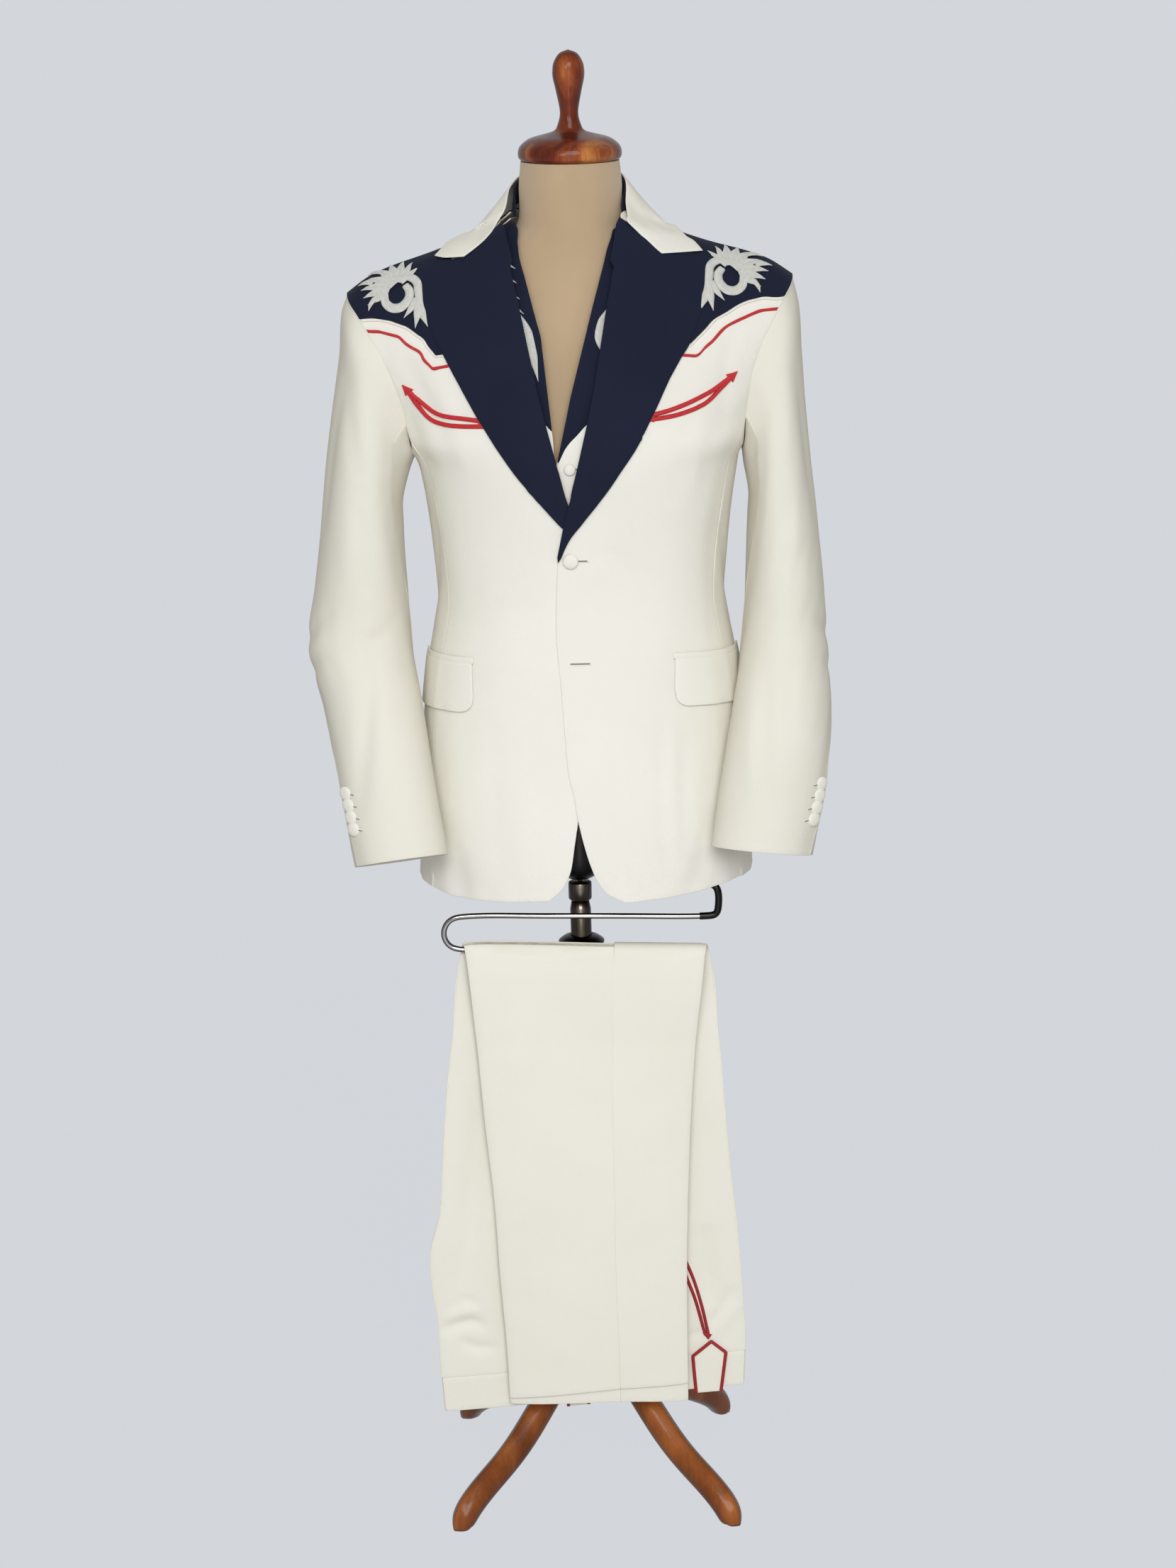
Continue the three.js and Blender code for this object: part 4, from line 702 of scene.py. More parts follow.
def texture(tree, kind, vector, bands=None, **values):
    """A noise or wave texture; a value is a number or what another node puts out."""
    node = tree.nodes.new(f"ShaderNodeTex{kind}")
    if bands:
        node.bands_direction = bands
    tree.links.new(vector, node.inputs["Vector"])
    for title, value in values.items():
        if isinstance(value, (int, float)):
            node.inputs[title].default_value = value
        else:
            tree.links.new(value, node.inputs[title])
    return node.outputs["Fac"]


def math_node(tree, kind, one, two, clamp=False):
    node = tree.nodes.new("ShaderNodeMath")
    node.operation = kind
    node.use_clamp = clamp
    for socket, value in zip(node.inputs, (one, two)):
        if isinstance(value, (int, float)):
            socket.default_value = value
        else:
            tree.links.new(value, socket)
    return node.outputs[0]


def mix_colors(tree, share, one, two):
    node = tree.nodes.new("ShaderNodeMix")
    node.data_type = "RGBA"
    for socket, value in zip((node.inputs[0], node.inputs[6], node.inputs[7]), (share, one, two)):
        if isinstance(value, tuple):
            socket.default_value = (*value, 1)
        else:
            tree.links.new(value, socket)
    return node.outputs[2]


def mapped(tree, vector, scale=(1, 1, 1), turn=(0, 0, 0)):
    node = tree.nodes.new("ShaderNodeMapping")
    node.inputs["Scale"].default_value = scale
    node.inputs["Rotation"].default_value = turn
    tree.links.new(vector, node.inputs["Vector"])
    return node.outputs["Vector"]


def times(tree, one, two):
    return math_node(tree, "MULTIPLY", one, two)


def plus(tree, one, two, clamp=False):
    return math_node(tree, "ADD", one, two, clamp)


def twill_group():
    """Slanted ribs of a worsted twill crossed by single yarns. Ribs: how many to a metre."""
    group, given, result = node_group("worsted_twill", "Ribs", 900.0, ("Height", "Tone"))
    vector, count = given["Vector"], given["Ribs"]
    ribs = texture(group, "Wave", vector, "DIAGONAL", Scale=times(group, count, 0.222),
                   Distortion=1.2, Detail=2)
    yarns = texture(group, "Wave", vector, "X", Scale=times(group, count, 0.55), Distortion=0.8)
    fuzz = texture(group, "Noise", vector, Scale=times(group, count, 1.7), Detail=3)
    cloud = texture(group, "Noise", vector, Scale=7, Detail=4)
    crossed = times(group, ribs, yarns)
    group.links.new(plus(group, crossed, times(group, fuzz, 0.7)), result["Height"])
    tone = plus(group, times(group, crossed, 0.25), times(group, cloud, 0.75), clamp=True)
    group.links.new(tone, result["Tone"])
    return group


def thread_group():
    """Lines of thread that lie side by side across the piece. Threads: how many to a metre along it."""
    group, given, result = node_group("laid_thread", "Threads", 2200.0, ("Height", "Tone"))
    vector, scale = given["Vector"], times(group, given["Threads"], 0.314)
    wave = texture(group, "Wave", vector, "X", Scale=scale, Distortion=1.5, Detail=1)
    patch = texture(group, "Noise", vector, Scale=260, Detail=2)
    group.links.new(wave, result["Height"])
    tone = plus(group, times(group, wave, 0.45), times(group, patch, 0.55), clamp=True)
    group.links.new(tone, result["Tone"])
    return group


def grain_group():
    """Figure and pores of polished wood, along Z of the vector."""
    group, given, result = node_group("polished_grain", "Figure", 9.0, ("Figure", "Pores"))
    vector = given["Vector"]
    figure = texture(group, "Noise", vector, Scale=given["Figure"], Detail=5, Distortion=1.1)
    pores = texture(group, "Noise", mapped(group, vector, scale=(1, 1, 0.06)), Scale=420, Detail=3)
    group.links.new(figure, result["Figure"])
    group.links.new(pores, result["Pores"])
    return group


TWILL, THREAD, GRAIN = twill_group(), thread_group(), grain_group()


def new_material(name, rough, **plain):
    material = bpy.data.materials.new(name)
    material.use_nodes = True
    shader = material.node_tree.nodes["Principled BSDF"]
    shader.inputs["Roughness"].default_value = rough
    for title, value in plain.items():
        shader.inputs[title.replace("_", " ")].default_value = value
    return material, material.node_tree, shader


def coordinates(tree, kind):
    return tree.nodes.new("ShaderNodeTexCoord").outputs[kind]


def use_group(tree, group, vector, title, value):
    node = tree.nodes.new("ShaderNodeGroup")
    node.node_tree = group
    tree.links.new(vector, node.inputs["Vector"])
    node.inputs[title].default_value = value
    return node


def bump(tree, shader, height, strength, distance):
    node = tree.nodes.new("ShaderNodeBump")
    node.inputs["Strength"].default_value = strength
    node.inputs["Distance"].default_value = distance
    tree.links.new(height, node.inputs["Height"])
    tree.links.new(node.outputs["Normal"], shader.inputs["Normal"])


def ramp(tree, value, stops):
    node = tree.nodes.new("ShaderNodeValToRGB")
    line = node.color_ramp
    while len(line.elements) < len(stops):
        line.elements.new(0.5)
    for element, (place, color) in zip(line.elements, stops):
        element.position = place
        element.color = (*color, 1)
    tree.links.new(value, node.inputs["Fac"])
    return node.outputs["Color"]


def seen_edges(tree, blend):
    """How far the surface turns away from the eye."""
    node = tree.nodes.new("ShaderNodeLayerWeight")
    node.inputs["Blend"].default_value = blend
    return node.outputs["Facing"]


def wool(name, low, high, rough=0.85, sheen=0.05, ribs=900.0, strength=0.35, gloss=0.25, turned=None):
    """Worsted wool. Where the surface turns away from the eye the turned colour is mixed in as a painted edge
    tone: painted shade on the ivory, painted light on the linen.
    """
    plain = {"Sheen_Weight": sheen, "Sheen_Roughness": 0.45, "Specular_IOR_Level": gloss}
    material, tree, shader = new_material(name, rough, **plain)
    weave = use_group(tree, TWILL, coordinates(tree, "UV"), "Ribs", ribs)
    color = ramp(tree, weave.outputs["Tone"], [(0.25, low), (0.75, high)])
    # Painted edge tone: the turned colour is mixed in by how far the surface turns away. It stands in for
    # light and shade at the silhouettes, not for a colour of the cloth.
    if turned:
        color = mix_colors(tree, times(tree, seen_edges(tree, 0.35), 0.75), color, turned)
    tree.links.new(color, shader.inputs["Base Color"])
    bump(tree, shader, weave.outputs["Height"], strength, 0.0002)
    return material


def thread(name, low, high, rough, threads, turn=0.0, kind="UV", strength=0.5, depth=0.0003, sheen=0.2):
    material, tree, shader = new_material(name, rough, Sheen_Weight=sheen, Specular_IOR_Level=0.4)
    vector = mapped(tree, coordinates(tree, kind), turn=(0, 0, turn))
    lines = use_group(tree, THREAD, vector, "Threads", threads)
    tree.links.new(ramp(tree, lines.outputs["Tone"], [(0.2, low), (0.8, high)]), shader.inputs["Base Color"])
    bump(tree, shader, lines.outputs["Height"], strength, depth)
    return material


def wood(name, stops, figure, rough, painted_edge_shade, length):
    """Varnished wood, with painted shade that deepens its colour where it turns away from the eye."""
    coat = {"Coat_Weight": 0.28, "Coat_Roughness": 0.14, "Specular_IOR_Level": 0.1}
    material, tree, shader = new_material(name, rough, **coat)
    vector = mapped(tree, coordinates(tree, "Object"), scale=(1, 1, length))
    grain = use_group(tree, GRAIN, vector, "Figure", figure)
    tone = plus(tree, grain.outputs["Figure"], times(tree, grain.outputs["Pores"], 0.18))
    # Painted shade: a dark colour is mixed in by how far the surface turns away from the eye.
    color = mix_colors(tree, seen_edges(tree, 0.45), ramp(tree, tone, stops), painted_edge_shade)
    tree.links.new(color, shader.inputs["Base Color"])
    bump(tree, shader, grain.outputs["Pores"], 0.02, 0.0002)
    return material


def metal(name, painted_highlight_and_shade, rough, streak, scale):
    """Polished metal: a painted highlight in the middle of a round and painted shade towards its edges, with
    faint streaks of painted reflection.
    """
    material, tree, shader = new_material(name, rough, Metallic=1.0)
    noise = texture(tree, "Noise", mapped(tree, coordinates(tree, "Object"), scale=scale), Scale=60, Detail=4)
    # Painted highlight and shade: the colour follows how far the surface turns away from the eye, bright in
    # the middle of a round and dark at its edges.
    shade = ramp(tree, seen_edges(tree, 0.5), painted_highlight_and_shade)
    # Painted reflection: stretched noise darkens the colour in faint streaks, standing in for the dark bands
    # that a polished round reflects. The same noise also varies the roughness.
    color = mix_colors(tree, times(tree, noise, 0.35), shade, (0.02, 0.02, 0.02))
    tree.links.new(color, shader.inputs["Base Color"])
    value = tree.nodes.new("ShaderNodeMapRange")
    tree.links.new(noise, value.inputs["Value"])
    value.inputs["To Min"].default_value = rough
    value.inputs["To Max"].default_value = rough + streak
    tree.links.new(value.outputs["Result"], shader.inputs["Roughness"])
    return material


# Ivory wool: its turned colour is painted shade at the silhouettes.
IVORY = wool("ivory_wool", (0.80, 0.785, 0.715), (0.85, 0.84, 0.78), turned=(0.70, 0.655, 0.53))
# A darker, warmer copy of the ivory wool for the sleeves: painted shade. Its turned colour is painted shade
# too.
SHADED_SLEEVE_WOOL = wool("ivory_wool_painted_shade_sleeves", (0.745, 0.725, 0.64), (0.79, 0.77, 0.69), turned=(0.62, 0.57, 0.45))
# A slightly darker, warmer copy of the ivory wool for the trousers: painted shade. Its turned colour is
# painted shade too.
SHADED_TROUSER_WOOL = wool("ivory_wool_painted_shade_trousers", (0.785, 0.765, 0.675), (0.83, 0.815, 0.735),
                    turned=(0.68, 0.63, 0.50))
NAVY = wool("navy_wool", (0.0085, 0.0115, 0.027), (0.013, 0.0175, 0.040), sheen=0.03, gloss=0.12)
# The linen's turned colour is lighter than its own: painted light at the silhouettes.
LINEN = wool("linen_cover", (0.43, 0.31, 0.19), (0.53, 0.39, 0.245), rough=0.7, ribs=700.0, strength=0.25,
             turned=(0.74, 0.62, 0.47))
PIPED = {"rough": 0.5, "threads": 900, "turn": 0.8, "strength": 0.3, "sheen": 0.0}
RED = thread("red_piping", (0.42, 0.010, 0.014), (0.60, 0.020, 0.026), **PIPED)
DARK_RED = thread("dark_red_piping", (0.25, 0.005, 0.008), (0.38, 0.010, 0.014), **PIPED)
CREAM = thread("cream_cord", (0.78, 0.75, 0.66), (0.87, 0.85, 0.77), 0.55, 700, turn=0.7, strength=0.2)
SILK = thread("embroidery_silk", (0.60, 0.60, 0.55), (0.90, 0.90, 0.84), 0.42, 900,
              strength=0.8, depth=0.0006)
HOLE_SILK = thread("buttonhole_silk", (0.72, 0.69, 0.6), (0.84, 0.82, 0.74), 0.5, 2400,
                   strength=0.3, kind="Object")
# The last colour given to each wood is its painted shade at the silhouettes.
CAP_WOOD = wood("cap_wood", [(0.30, (0.055, 0.008, 0.003)), (0.52, (0.17, 0.028, 0.008)),
                             (0.66, (0.32, 0.075, 0.018)), (0.82, (0.62, 0.26, 0.07))],
                22.0, 0.3, (0.045, 0.007, 0.003), 0.5)
LEG_WOOD = wood("leg_wood", [(0.30, (0.085, 0.018, 0.004)), (0.55, (0.20, 0.052, 0.009)),
                             (0.80, (0.38, 0.115, 0.022))], 16.0, 0.35, (0.030, 0.006, 0.002), 0.35)
# Each ramp runs from a painted highlight in the middle of a round to painted shade at its edges.
STEEL = metal("dark_steel", [(0.0, (0.40, 0.34, 0.28)), (0.10, (0.10, 0.083, 0.072)),
                             (0.35, (0.035, 0.029, 0.026)), (1.0, (0.014, 0.012, 0.011))],
              0.24, 0.16, (1, 1, 0.05))
CHROME = metal("chrome", [(0.0, (0.50, 0.49, 0.48)), (0.12, (0.38, 0.365, 0.35)), (0.30, (0.12, 0.11, 0.10)),
                          (0.50, (0.03, 0.028, 0.028)), (1.0, (0.05, 0.05, 0.055))], 0.16, 0.06, (0.1, 1, 1))
BLACK = metal("black_fitting", [(0.0, (0.030, 0.027, 0.027)), (0.3, (0.008, 0.007, 0.007)),
                                (1.0, (0.005, 0.005, 0.005))], 0.25, 0.12, (1, 1, 1))


# ---------- the cloth ----------
OUT = round_axis(AXIS)


def up_and_out(where):
    out = OUT(where)
    out[:, 2] += 0.8
    return unit(out)


def forward(where):
    return np.tile((0.0, -1.0, 0.0), (len(where), 1))


def snug(radius):
    """Over the bar the cloth stays within a radius of it."""
    def shape(verts, flat, tris):
        height, back = verts[:, 2] - (BAR_Z - 0.03 * verts[:, 0]), verts[:, 1] - BAR_Y
        pull = np.where(height > 0, np.minimum(1, radius / np.maximum(np.hypot(back, height), 1e-6)), 1)
        return np.stack([verts[:, 0], BAR_Y + back * pull, verts[:, 2] + height * (pull - 1)], 1)
    return shape


def eased_in(value, low, high):
    """0 up to one value, 1 from another, and a smooth way between."""
    t = np.clip((value - low) / (high - low), 0, 1)
    return t * t * (3 - 2 * t)


def front_edges(places):
    """The front stays back from the roll of its lapel, and reaches under the sleeve at the armhole."""
    x, y, z = places.T
    roll = (np.abs(x) < 0.088) & (y < -0.036) & (z > 1.12)
    return np.where(roll, -0.0016, 0) + 0.0009 * eased_in(np.abs(x), 0.160, 0.172) * eased_in(z, 1.18, 1.21)


def side_hem(drop):
    """The side's hem falls to meet the front's."""
    def places_out(places):
        _, y, z = places.T
        return np.where(z < 0.737, drop * np.clip((0.048 - y) / 0.096, 0, 1), 0)
    return places_out


def to_the_gorge(places):
    """The collar's ends reach down to the lapels."""
    x, y, z = places.T
    at_the_end = eased_in(-y, 0.0195, 0.026) * eased_in(-np.abs(x), -0.150, -0.132)
    return 0.0042 * at_the_end * eased_in(-z, -1.449, -1.443)


def lapel_top(places):
    """The lapel's gorge runs up under the collar."""
    x, _, z = places.T
    return 0.0045 * eased_in(z, 1.400, 1.406) * eased_in(-np.abs(x), -0.134, -0.120)


def panels_of(hand):
    return [f"jacket_{part}_{hand}" for part in ("front", "side", "back")]


EDGES = {
    "jacket_front_left": front_edges,
    "jacket_front_right": front_edges,
    "jacket_side_left": side_hem(0.0065),
    "jacket_side_right": side_hem(0.0038),
}
HANDS = ("left", "right")
BODY = panels_of("left") + panels_of("right")
for node in BODY:
    cloth(node, IVORY, OUT, folds=JACKET_FOLDS, uneven=0.7, inset=-0.0001, let_out=EDGES.get(node))
cloth("jacket_yoke_back", NAVY, OUT, thickness=TRIM, on=BODY, height=GAP)
for hand in HANDS:
    panels = panels_of(hand)
    cloth(f"jacket_yoke_{hand}", NAVY, OUT, thickness=TRIM, on=panels, height=GAP)
    cloth(f"jacket_lapel_{hand}", NAVY, OUT, on=panels, height=0.0018, inset=-0.0012,
          let_out=lapel_top)
    cloth(f"jacket_flap_{hand}", IVORY, OUT, step=0.003, thickness=0.0018, on=panels, height=0.0012)
    cloth(f"jacket_welt_{hand}", IVORY, OUT, step=0.002, thickness=0.0018, on=panels, height=0.0010)
    trim(f"jacket_yoke_cord_{hand}", CREAM, OUT, 0.0014, 0.0015, panels)
    trim(f"jacket_piping_{hand}", RED, OUT, 0.0015, 0.0016, panels)
    trim(f"jacket_pocket_piping_{hand}", RED, OUT, 0.0018, 0.0020, panels, inset=-0.0006)
trim("jacket_yoke_cord_back", CREAM, OUT, 0.0014, 0.0015, BODY)
cloth("jacket_collar_stand", NAVY, OUT)
cloth("jacket_collar", IVORY, up_and_out, step=0.0035,
      let_out=to_the_gorge)
for hand in HANDS:
    for part in ("sleeve", "undersleeve"):
        cloth(f"jacket_{part}_{hand}", SHADED_SLEEVE_WOOL, round_axis(SLEEVE_AXIS[hand]), inset=-0.0006,
              folds=SLEEVE_FOLDS[hand], uneven=0.7)
for part in ("front_left", "front_right", "back"):
    cloth(f"waistcoat_{part}", IVORY, OUT, step=0.006, sharp=28)
for hand in HANDS:
    cloth(f"waistcoat_yoke_{hand}", NAVY, OUT)
for part in ("back_inner", "front_inner", "back_outer", "front_outer", "waistband_inner", "waistband_outer"):
    cloth(f"trousers_{part}", SHADED_TROUSER_WOOL, off_the_bar, step=0.0048, thickness=TROUSER,
          folds=TROUSER_FOLDS, guide=0, rounds=3,
          reshape=snug(0.0105 if "outer" in part else 0.0071))
NEAR_PLY = [f"trousers_{part}_inner_inside" for part in ("front", "back", "waistband")]
for part in ("side", "middle"):
    cloth(f"trousers_loop_{part}", SHADED_TROUSER_WOOL, forward, step=0.002, thickness=TROUSER, on=NEAR_PLY,
          height=GAP)
trim("trousers_pocket_piping", DARK_RED, forward, 0.0015, 0.0018, NEAR_PLY)


# ---------- thread, buttons and embroidery ----------
def cast(starts, aim, names):
    """Where straight looks meet the sheets, and the normals there."""
    tree = tree_of(*joined([MADE[name] for name in names]))
    places, normals = [], []
    for start in starts:
        place, normal, _, _ = tree.ray_cast(Vector(start), Vector(aim))
        if place is None:
            place, normal, _, _ = tree.find_nearest(Vector(places[-1] if places else start))
        places.append(tuple(place))
        normals.append(tuple(normal))
    return np.array(places), np.array(normals)


def from_front(points, names, depth=-0.6):
    """The same for looks from the front, given across and up in millimetres."""
    return cast([(x / 1000, depth, z / 1000) for x, z in points], (0, 1, 0), names)


def rope(path, normals, radius, closed=False, sides=8):
    """A round thread along a path, as points, triangles and places along and round it."""
    ahead = np.roll(path, -1, 0) - np.roll(path, 1, 0) if closed else np.gradient(path, axis=0)
    side = unit(np.cross(unit(ahead), normals))
    up = unit(np.cross(side, unit(ahead)))
    turn = np.arange(sides) * 2 * math.pi / sides
    out = np.cos(turn)[None, :, None] * side[:, None] + np.sin(turn)[None, :, None] * up[:, None]
    rings = path[:, None] + radius * out
    count = len(path)
    run = np.concatenate([[0], np.cumsum(np.linalg.norm(np.diff(path, axis=0), axis=1))])
    flat = np.stack(np.broadcast_arrays(run[:, None], (radius * turn)[None]), 2)
    verts, flat = rings.reshape(-1, 3), flat.reshape(-1, 2)
    i, j = np.meshgrid(np.arange(count if closed else count - 1), np.arange(sides), indexing="ij")
    a, b = i * sides + j, i * sides + (j + 1) % sides
    c, d = (i + 1) % count * sides + (j + 1) % sides, (i + 1) % count * sides + j
    tris = np.vstack([np.stack([one.ravel() for one in three], 1) for three in ((a, d, c), (a, c, b))])
    if not closed:
        last = (count - 1) * sides
        fan = np.array([[0, k, k + 1] for k in range(1, sides - 1)])
        tris = np.vstack([tris, fan, last + fan[:, ::-1]])
    return verts, tris, flat


def buttonhole(name, x1, x2, z, names):
    """A sewn buttonhole: a bead of buttonhole stitch round its slit, with a bar tack at its end. The slit is
    a black thread, painted shade where the cut lies in shadow.
    """
    half, turn = 1.15, np.linspace(-math.pi / 2, math.pi / 2, 7)
    ring = [(x2 - half + half * math.cos(a), z + half * math.sin(a)) for a in turn]
    ring += [(x1 + half - half * math.cos(a), z - half * math.sin(a)) for a in turn]
    bar = evenly([(x2 + 0.5, z - 1.5), (x2 + 0.5, z + 1.5)], 0.5)
    painted_shade_slit = evenly([(x1 + 0.8, z), (x2 - 0.8, z)], 0.8)

    def laid_thread(line, radius, closed=False):
        places, normals = from_front(line, names)
        return rope(places + normals * 0.0001, normals, radius, closed)

    bead = evenly(ring + ring[:1], 0.6)[:-1]
    sewn(name, [laid_thread(bead, 0.00055, True), laid_thread(bar, 0.0005)], HOLE_SILK)
    # Painted shade: a black thread along the slit stands in for the shadow in the cut.
    sewn(f"{name}_slit", [laid_thread(painted_shade_slit, 0.0004)], BLACK)


def buttons(node, places, radius, height, on, forwards=0.0):
    """Buttons covered in the suit's own cloth, each drawn down at its rim."""
    domed = [(0.001, height), (radius * 0.45, height * 0.95), (radius * 0.8, height * 0.74),
             (radius * 0.97, height * 0.45), (radius, height * 0.22)]
    profile = [(0, height)] + curve_through(domed, 5)[1:]
    profile += [(radius * 0.97, height * 0.06), (radius * 0.86, 0), (0, 0)]
    tree = tree_of(*joined([MADE[name] for name in on]))
    made = []
    for k, place in enumerate(places):
        one = spun(f"{node}_{k}", profile, 40)
        flat = np.array([v.co for v in one.data.vertices])
        around = np.arctan2(flat[:, 1], flat[:, 0])
        reach = np.linalg.norm(flat[:, :2], axis=1) / radius
        gathers = 0.00010 * np.sin(22 * around + k) * np.clip(reach * 4 - 3, 0, 1)
        flat[:, 2] += np.where(flat[:, 2] > 1e-5, gathers, 0)
        one.data.vertices.foreach_set("co", flat.ravel())
        set_uv(one.data, flat[:, :2])
        near, normal, _, _ = tree.find_nearest(Vector(place))
        normal = (normal + Vector((0, -forwards, 0))).normalized()
        facing = normal.to_track_quat("Z", "Y").to_matrix().to_4x4()
        one.data.transform(Matrix.Translation(near + normal * 0.0004) @ facing)
        made.append(one)
    bpy.ops.object.select_all(action="DESELECT")
    for one in made:
        one.select_set(True)
    bpy.context.view_layer.objects.active = made[0]
    if len(made) > 1:
        bpy.ops.object.join()
    made[0].name = f"{node}_covered"
    finished(made[0], IVORY, node)


def blade(rib, widths, look, lift, rise=0.0019):
    """One embroidered leaf: a domed strip along its rib, parted by a vein, with slanting stitches."""
    rib = evenly(smooth_line(rib), 0.9)
    t = np.linspace(0, 1, len(rib))
    half = np.interp(t, np.linspace(0, 1, len(widths)), widths) / 2 + 0.1
    half = np.convolve(np.pad(half, 2, "edge"), np.ones(5) / 5, "valid")
    heading = unit(np.gradient(rib, axis=0))
    across = np.linspace(-1, 1, 9)
    sideways = np.stack([-heading[:, 1], heading[:, 0]], 1)
    grid = rib[:, None] + sideways[:, None] * (half[:, None] * across)[..., None]
    places, normals = look(grid.reshape(-1, 2))
    rows, columns = len(t), len(across)
    soft = np.pad(normals.reshape(rows, columns, 3), ((2, 2), (2, 2), (0, 0)), "edge")
    normals = unit(sum(soft[i:i + rows, j:j + columns] for i in range(5) for j in range(5)).reshape(-1, 3))
    dome = np.sqrt(1 - 0.94 * across ** 2) * (1 - 0.35 * np.exp(-(across / 0.14) ** 2))
    height = (dome[None] * np.minimum(1, half / 2.2)[:, None] * rise).ravel() + lift
    along = 0.9 * np.arange(rows)[:, None] + 0.7 * half[:, None] * np.abs(across)
    flat = np.stack([along, np.broadcast_to(half[:, None] * across, along.shape)], 2).reshape(-1, 2) / 1000
    tris = strip_tris(rows, columns)
    verts = places + normals * height[:, None]
    if (np.cross(*sides(verts, tris)) * normals[tris[:, 0]]).sum() < 0:
        tris = tris[:, ::-1]
    return walled(verts, tris, flat, 0.0004, 1)


# Leaf scroll for a shoulder, from the eye of its volute: outwards and up the slope, in millimetres.
SHOULDER_SCROLL = [
    ([(-6, 13), (-12, 6), (-12.5, -3), (-6.5, -11), (3, -12.5), (11, -7), (14, 3)],
     [7, 9, 9.5, 9.5, 9, 8.5, 7]),
    ([(24, -3), (27, -10), (28, -16)], [5, 5, 0]),
    ([(12, 0), (21, -3), (30, -10)], [7, 8, 0]), ([(10, 4), (23, 4), (37, -2)], [8, 9.5, 0]),
    ([(9, 8), (25, 11), (43, 8)], [8, 10, 0]), ([(9, 11), (24, 19), (42, 22)], [8, 10.5, 0]),
    ([(8, 13), (20, 27), (36, 37)], [8, 10.5, 0]), ([(6, 14), (14, 31), (25, 46)], [8, 10.5, 0]),
    ([(4, 15), (6, 32), (11, 50)], [8, 10, 0]), ([(2, 16), (-2, 30), (-3, 44)], [8, 9, 0]),
    ([(0, 16), (-8, 26), (-15, 36)], [7, 8, 0]), ([(30, 14), (38, 17), (50, 16)], [5, 6, 0]),
    ([(26, 30), (36, 33), (46, 31)], [5, 6, 0]), ([(-21, -2), (-17, -13), (-11, -22)], [6, 6.5, 0]),
    ([(-23, -5), (-25, -18), (-24, -31)], [7, 8, 0]),
    ([(11, 9), (4, 19), (-8, 22), (-18, 16), (-22.5, 4), (-27, -11), (-37, -29)],
     [5, 8, 8.5, 8.5, 8, 8.5, 0]),
]
SCROLL_SCALE = 940      # how many of the scroll's units make a metre


def shoulder_scroll(hand, middle_x, middle_z, turn):
    """The scroll on one shoulder, laid square to the cloth under its middle."""
    over = [f"jacket_yoke_{hand}", "jacket_yoke_back"]
    around = [(middle_x + x, middle_z + z) for x in (-12, 0, 12) for z in (-10, 0, 10)]
    places, normals = from_front(around, over)
    eye, out_of = Vector(places[4]), Vector(normals.mean(0)).normalized()
    across = Vector((0, 0, 1)).cross(out_of).normalized() * turn
    across = across if across.x * turn > 0 else -across
    up = Vector((0, 0, 1)) - out_of * out_of.z
    up.normalize()

    def look(points):
        starts = [eye + across * (a / SCROLL_SCALE) + up * (b / SCROLL_SCALE) + out_of * 0.08
                  for a, b in points]
        return cast(starts, -out_of, over)

    parts = [blade(*leaf, look, 0.0002 + 0.00008 * k) for k, leaf in enumerate(SHOULDER_SCROLL)]
    sewn(f"embroidery_shoulder_{hand}", parts, SILK)


shoulder_scroll("left", -186, 1369, -1)
shoulder_scroll("right", 167, 1381, 1)
# Leaves on the waistcoat, across and up from the front, in millimetres.
WAISTCOAT_LEAVES = {
    "left": [([(-61, 1357), (-51, 1338), (-44, 1312), (-38, 1284)], [3, 12, 10, 0]),
             ([(-68, 1402), (-60, 1398)], [3.5, 0]), ([(-67, 1388), (-59, 1384)], [3.5, 0]),
             ([(-66, 1374), (-56, 1368)], [5, 0]), ([(-64, 1363), (-52, 1353)], [5.5, 0])],
    "right": [([(40, 1360), (30, 1342), (27, 1326), (31, 1312)], [3, 10, 10, 2])],
}
for hand, leaves in WAISTCOAT_LEAVES.items():
    def look(points, over=(f"waistcoat_yoke_{hand}",)):
        return from_front(points, over)

    sewn(f"embroidery_waistcoat_{hand}", [blade(*leaf, look, 0.0002) for leaf in leaves], SILK)


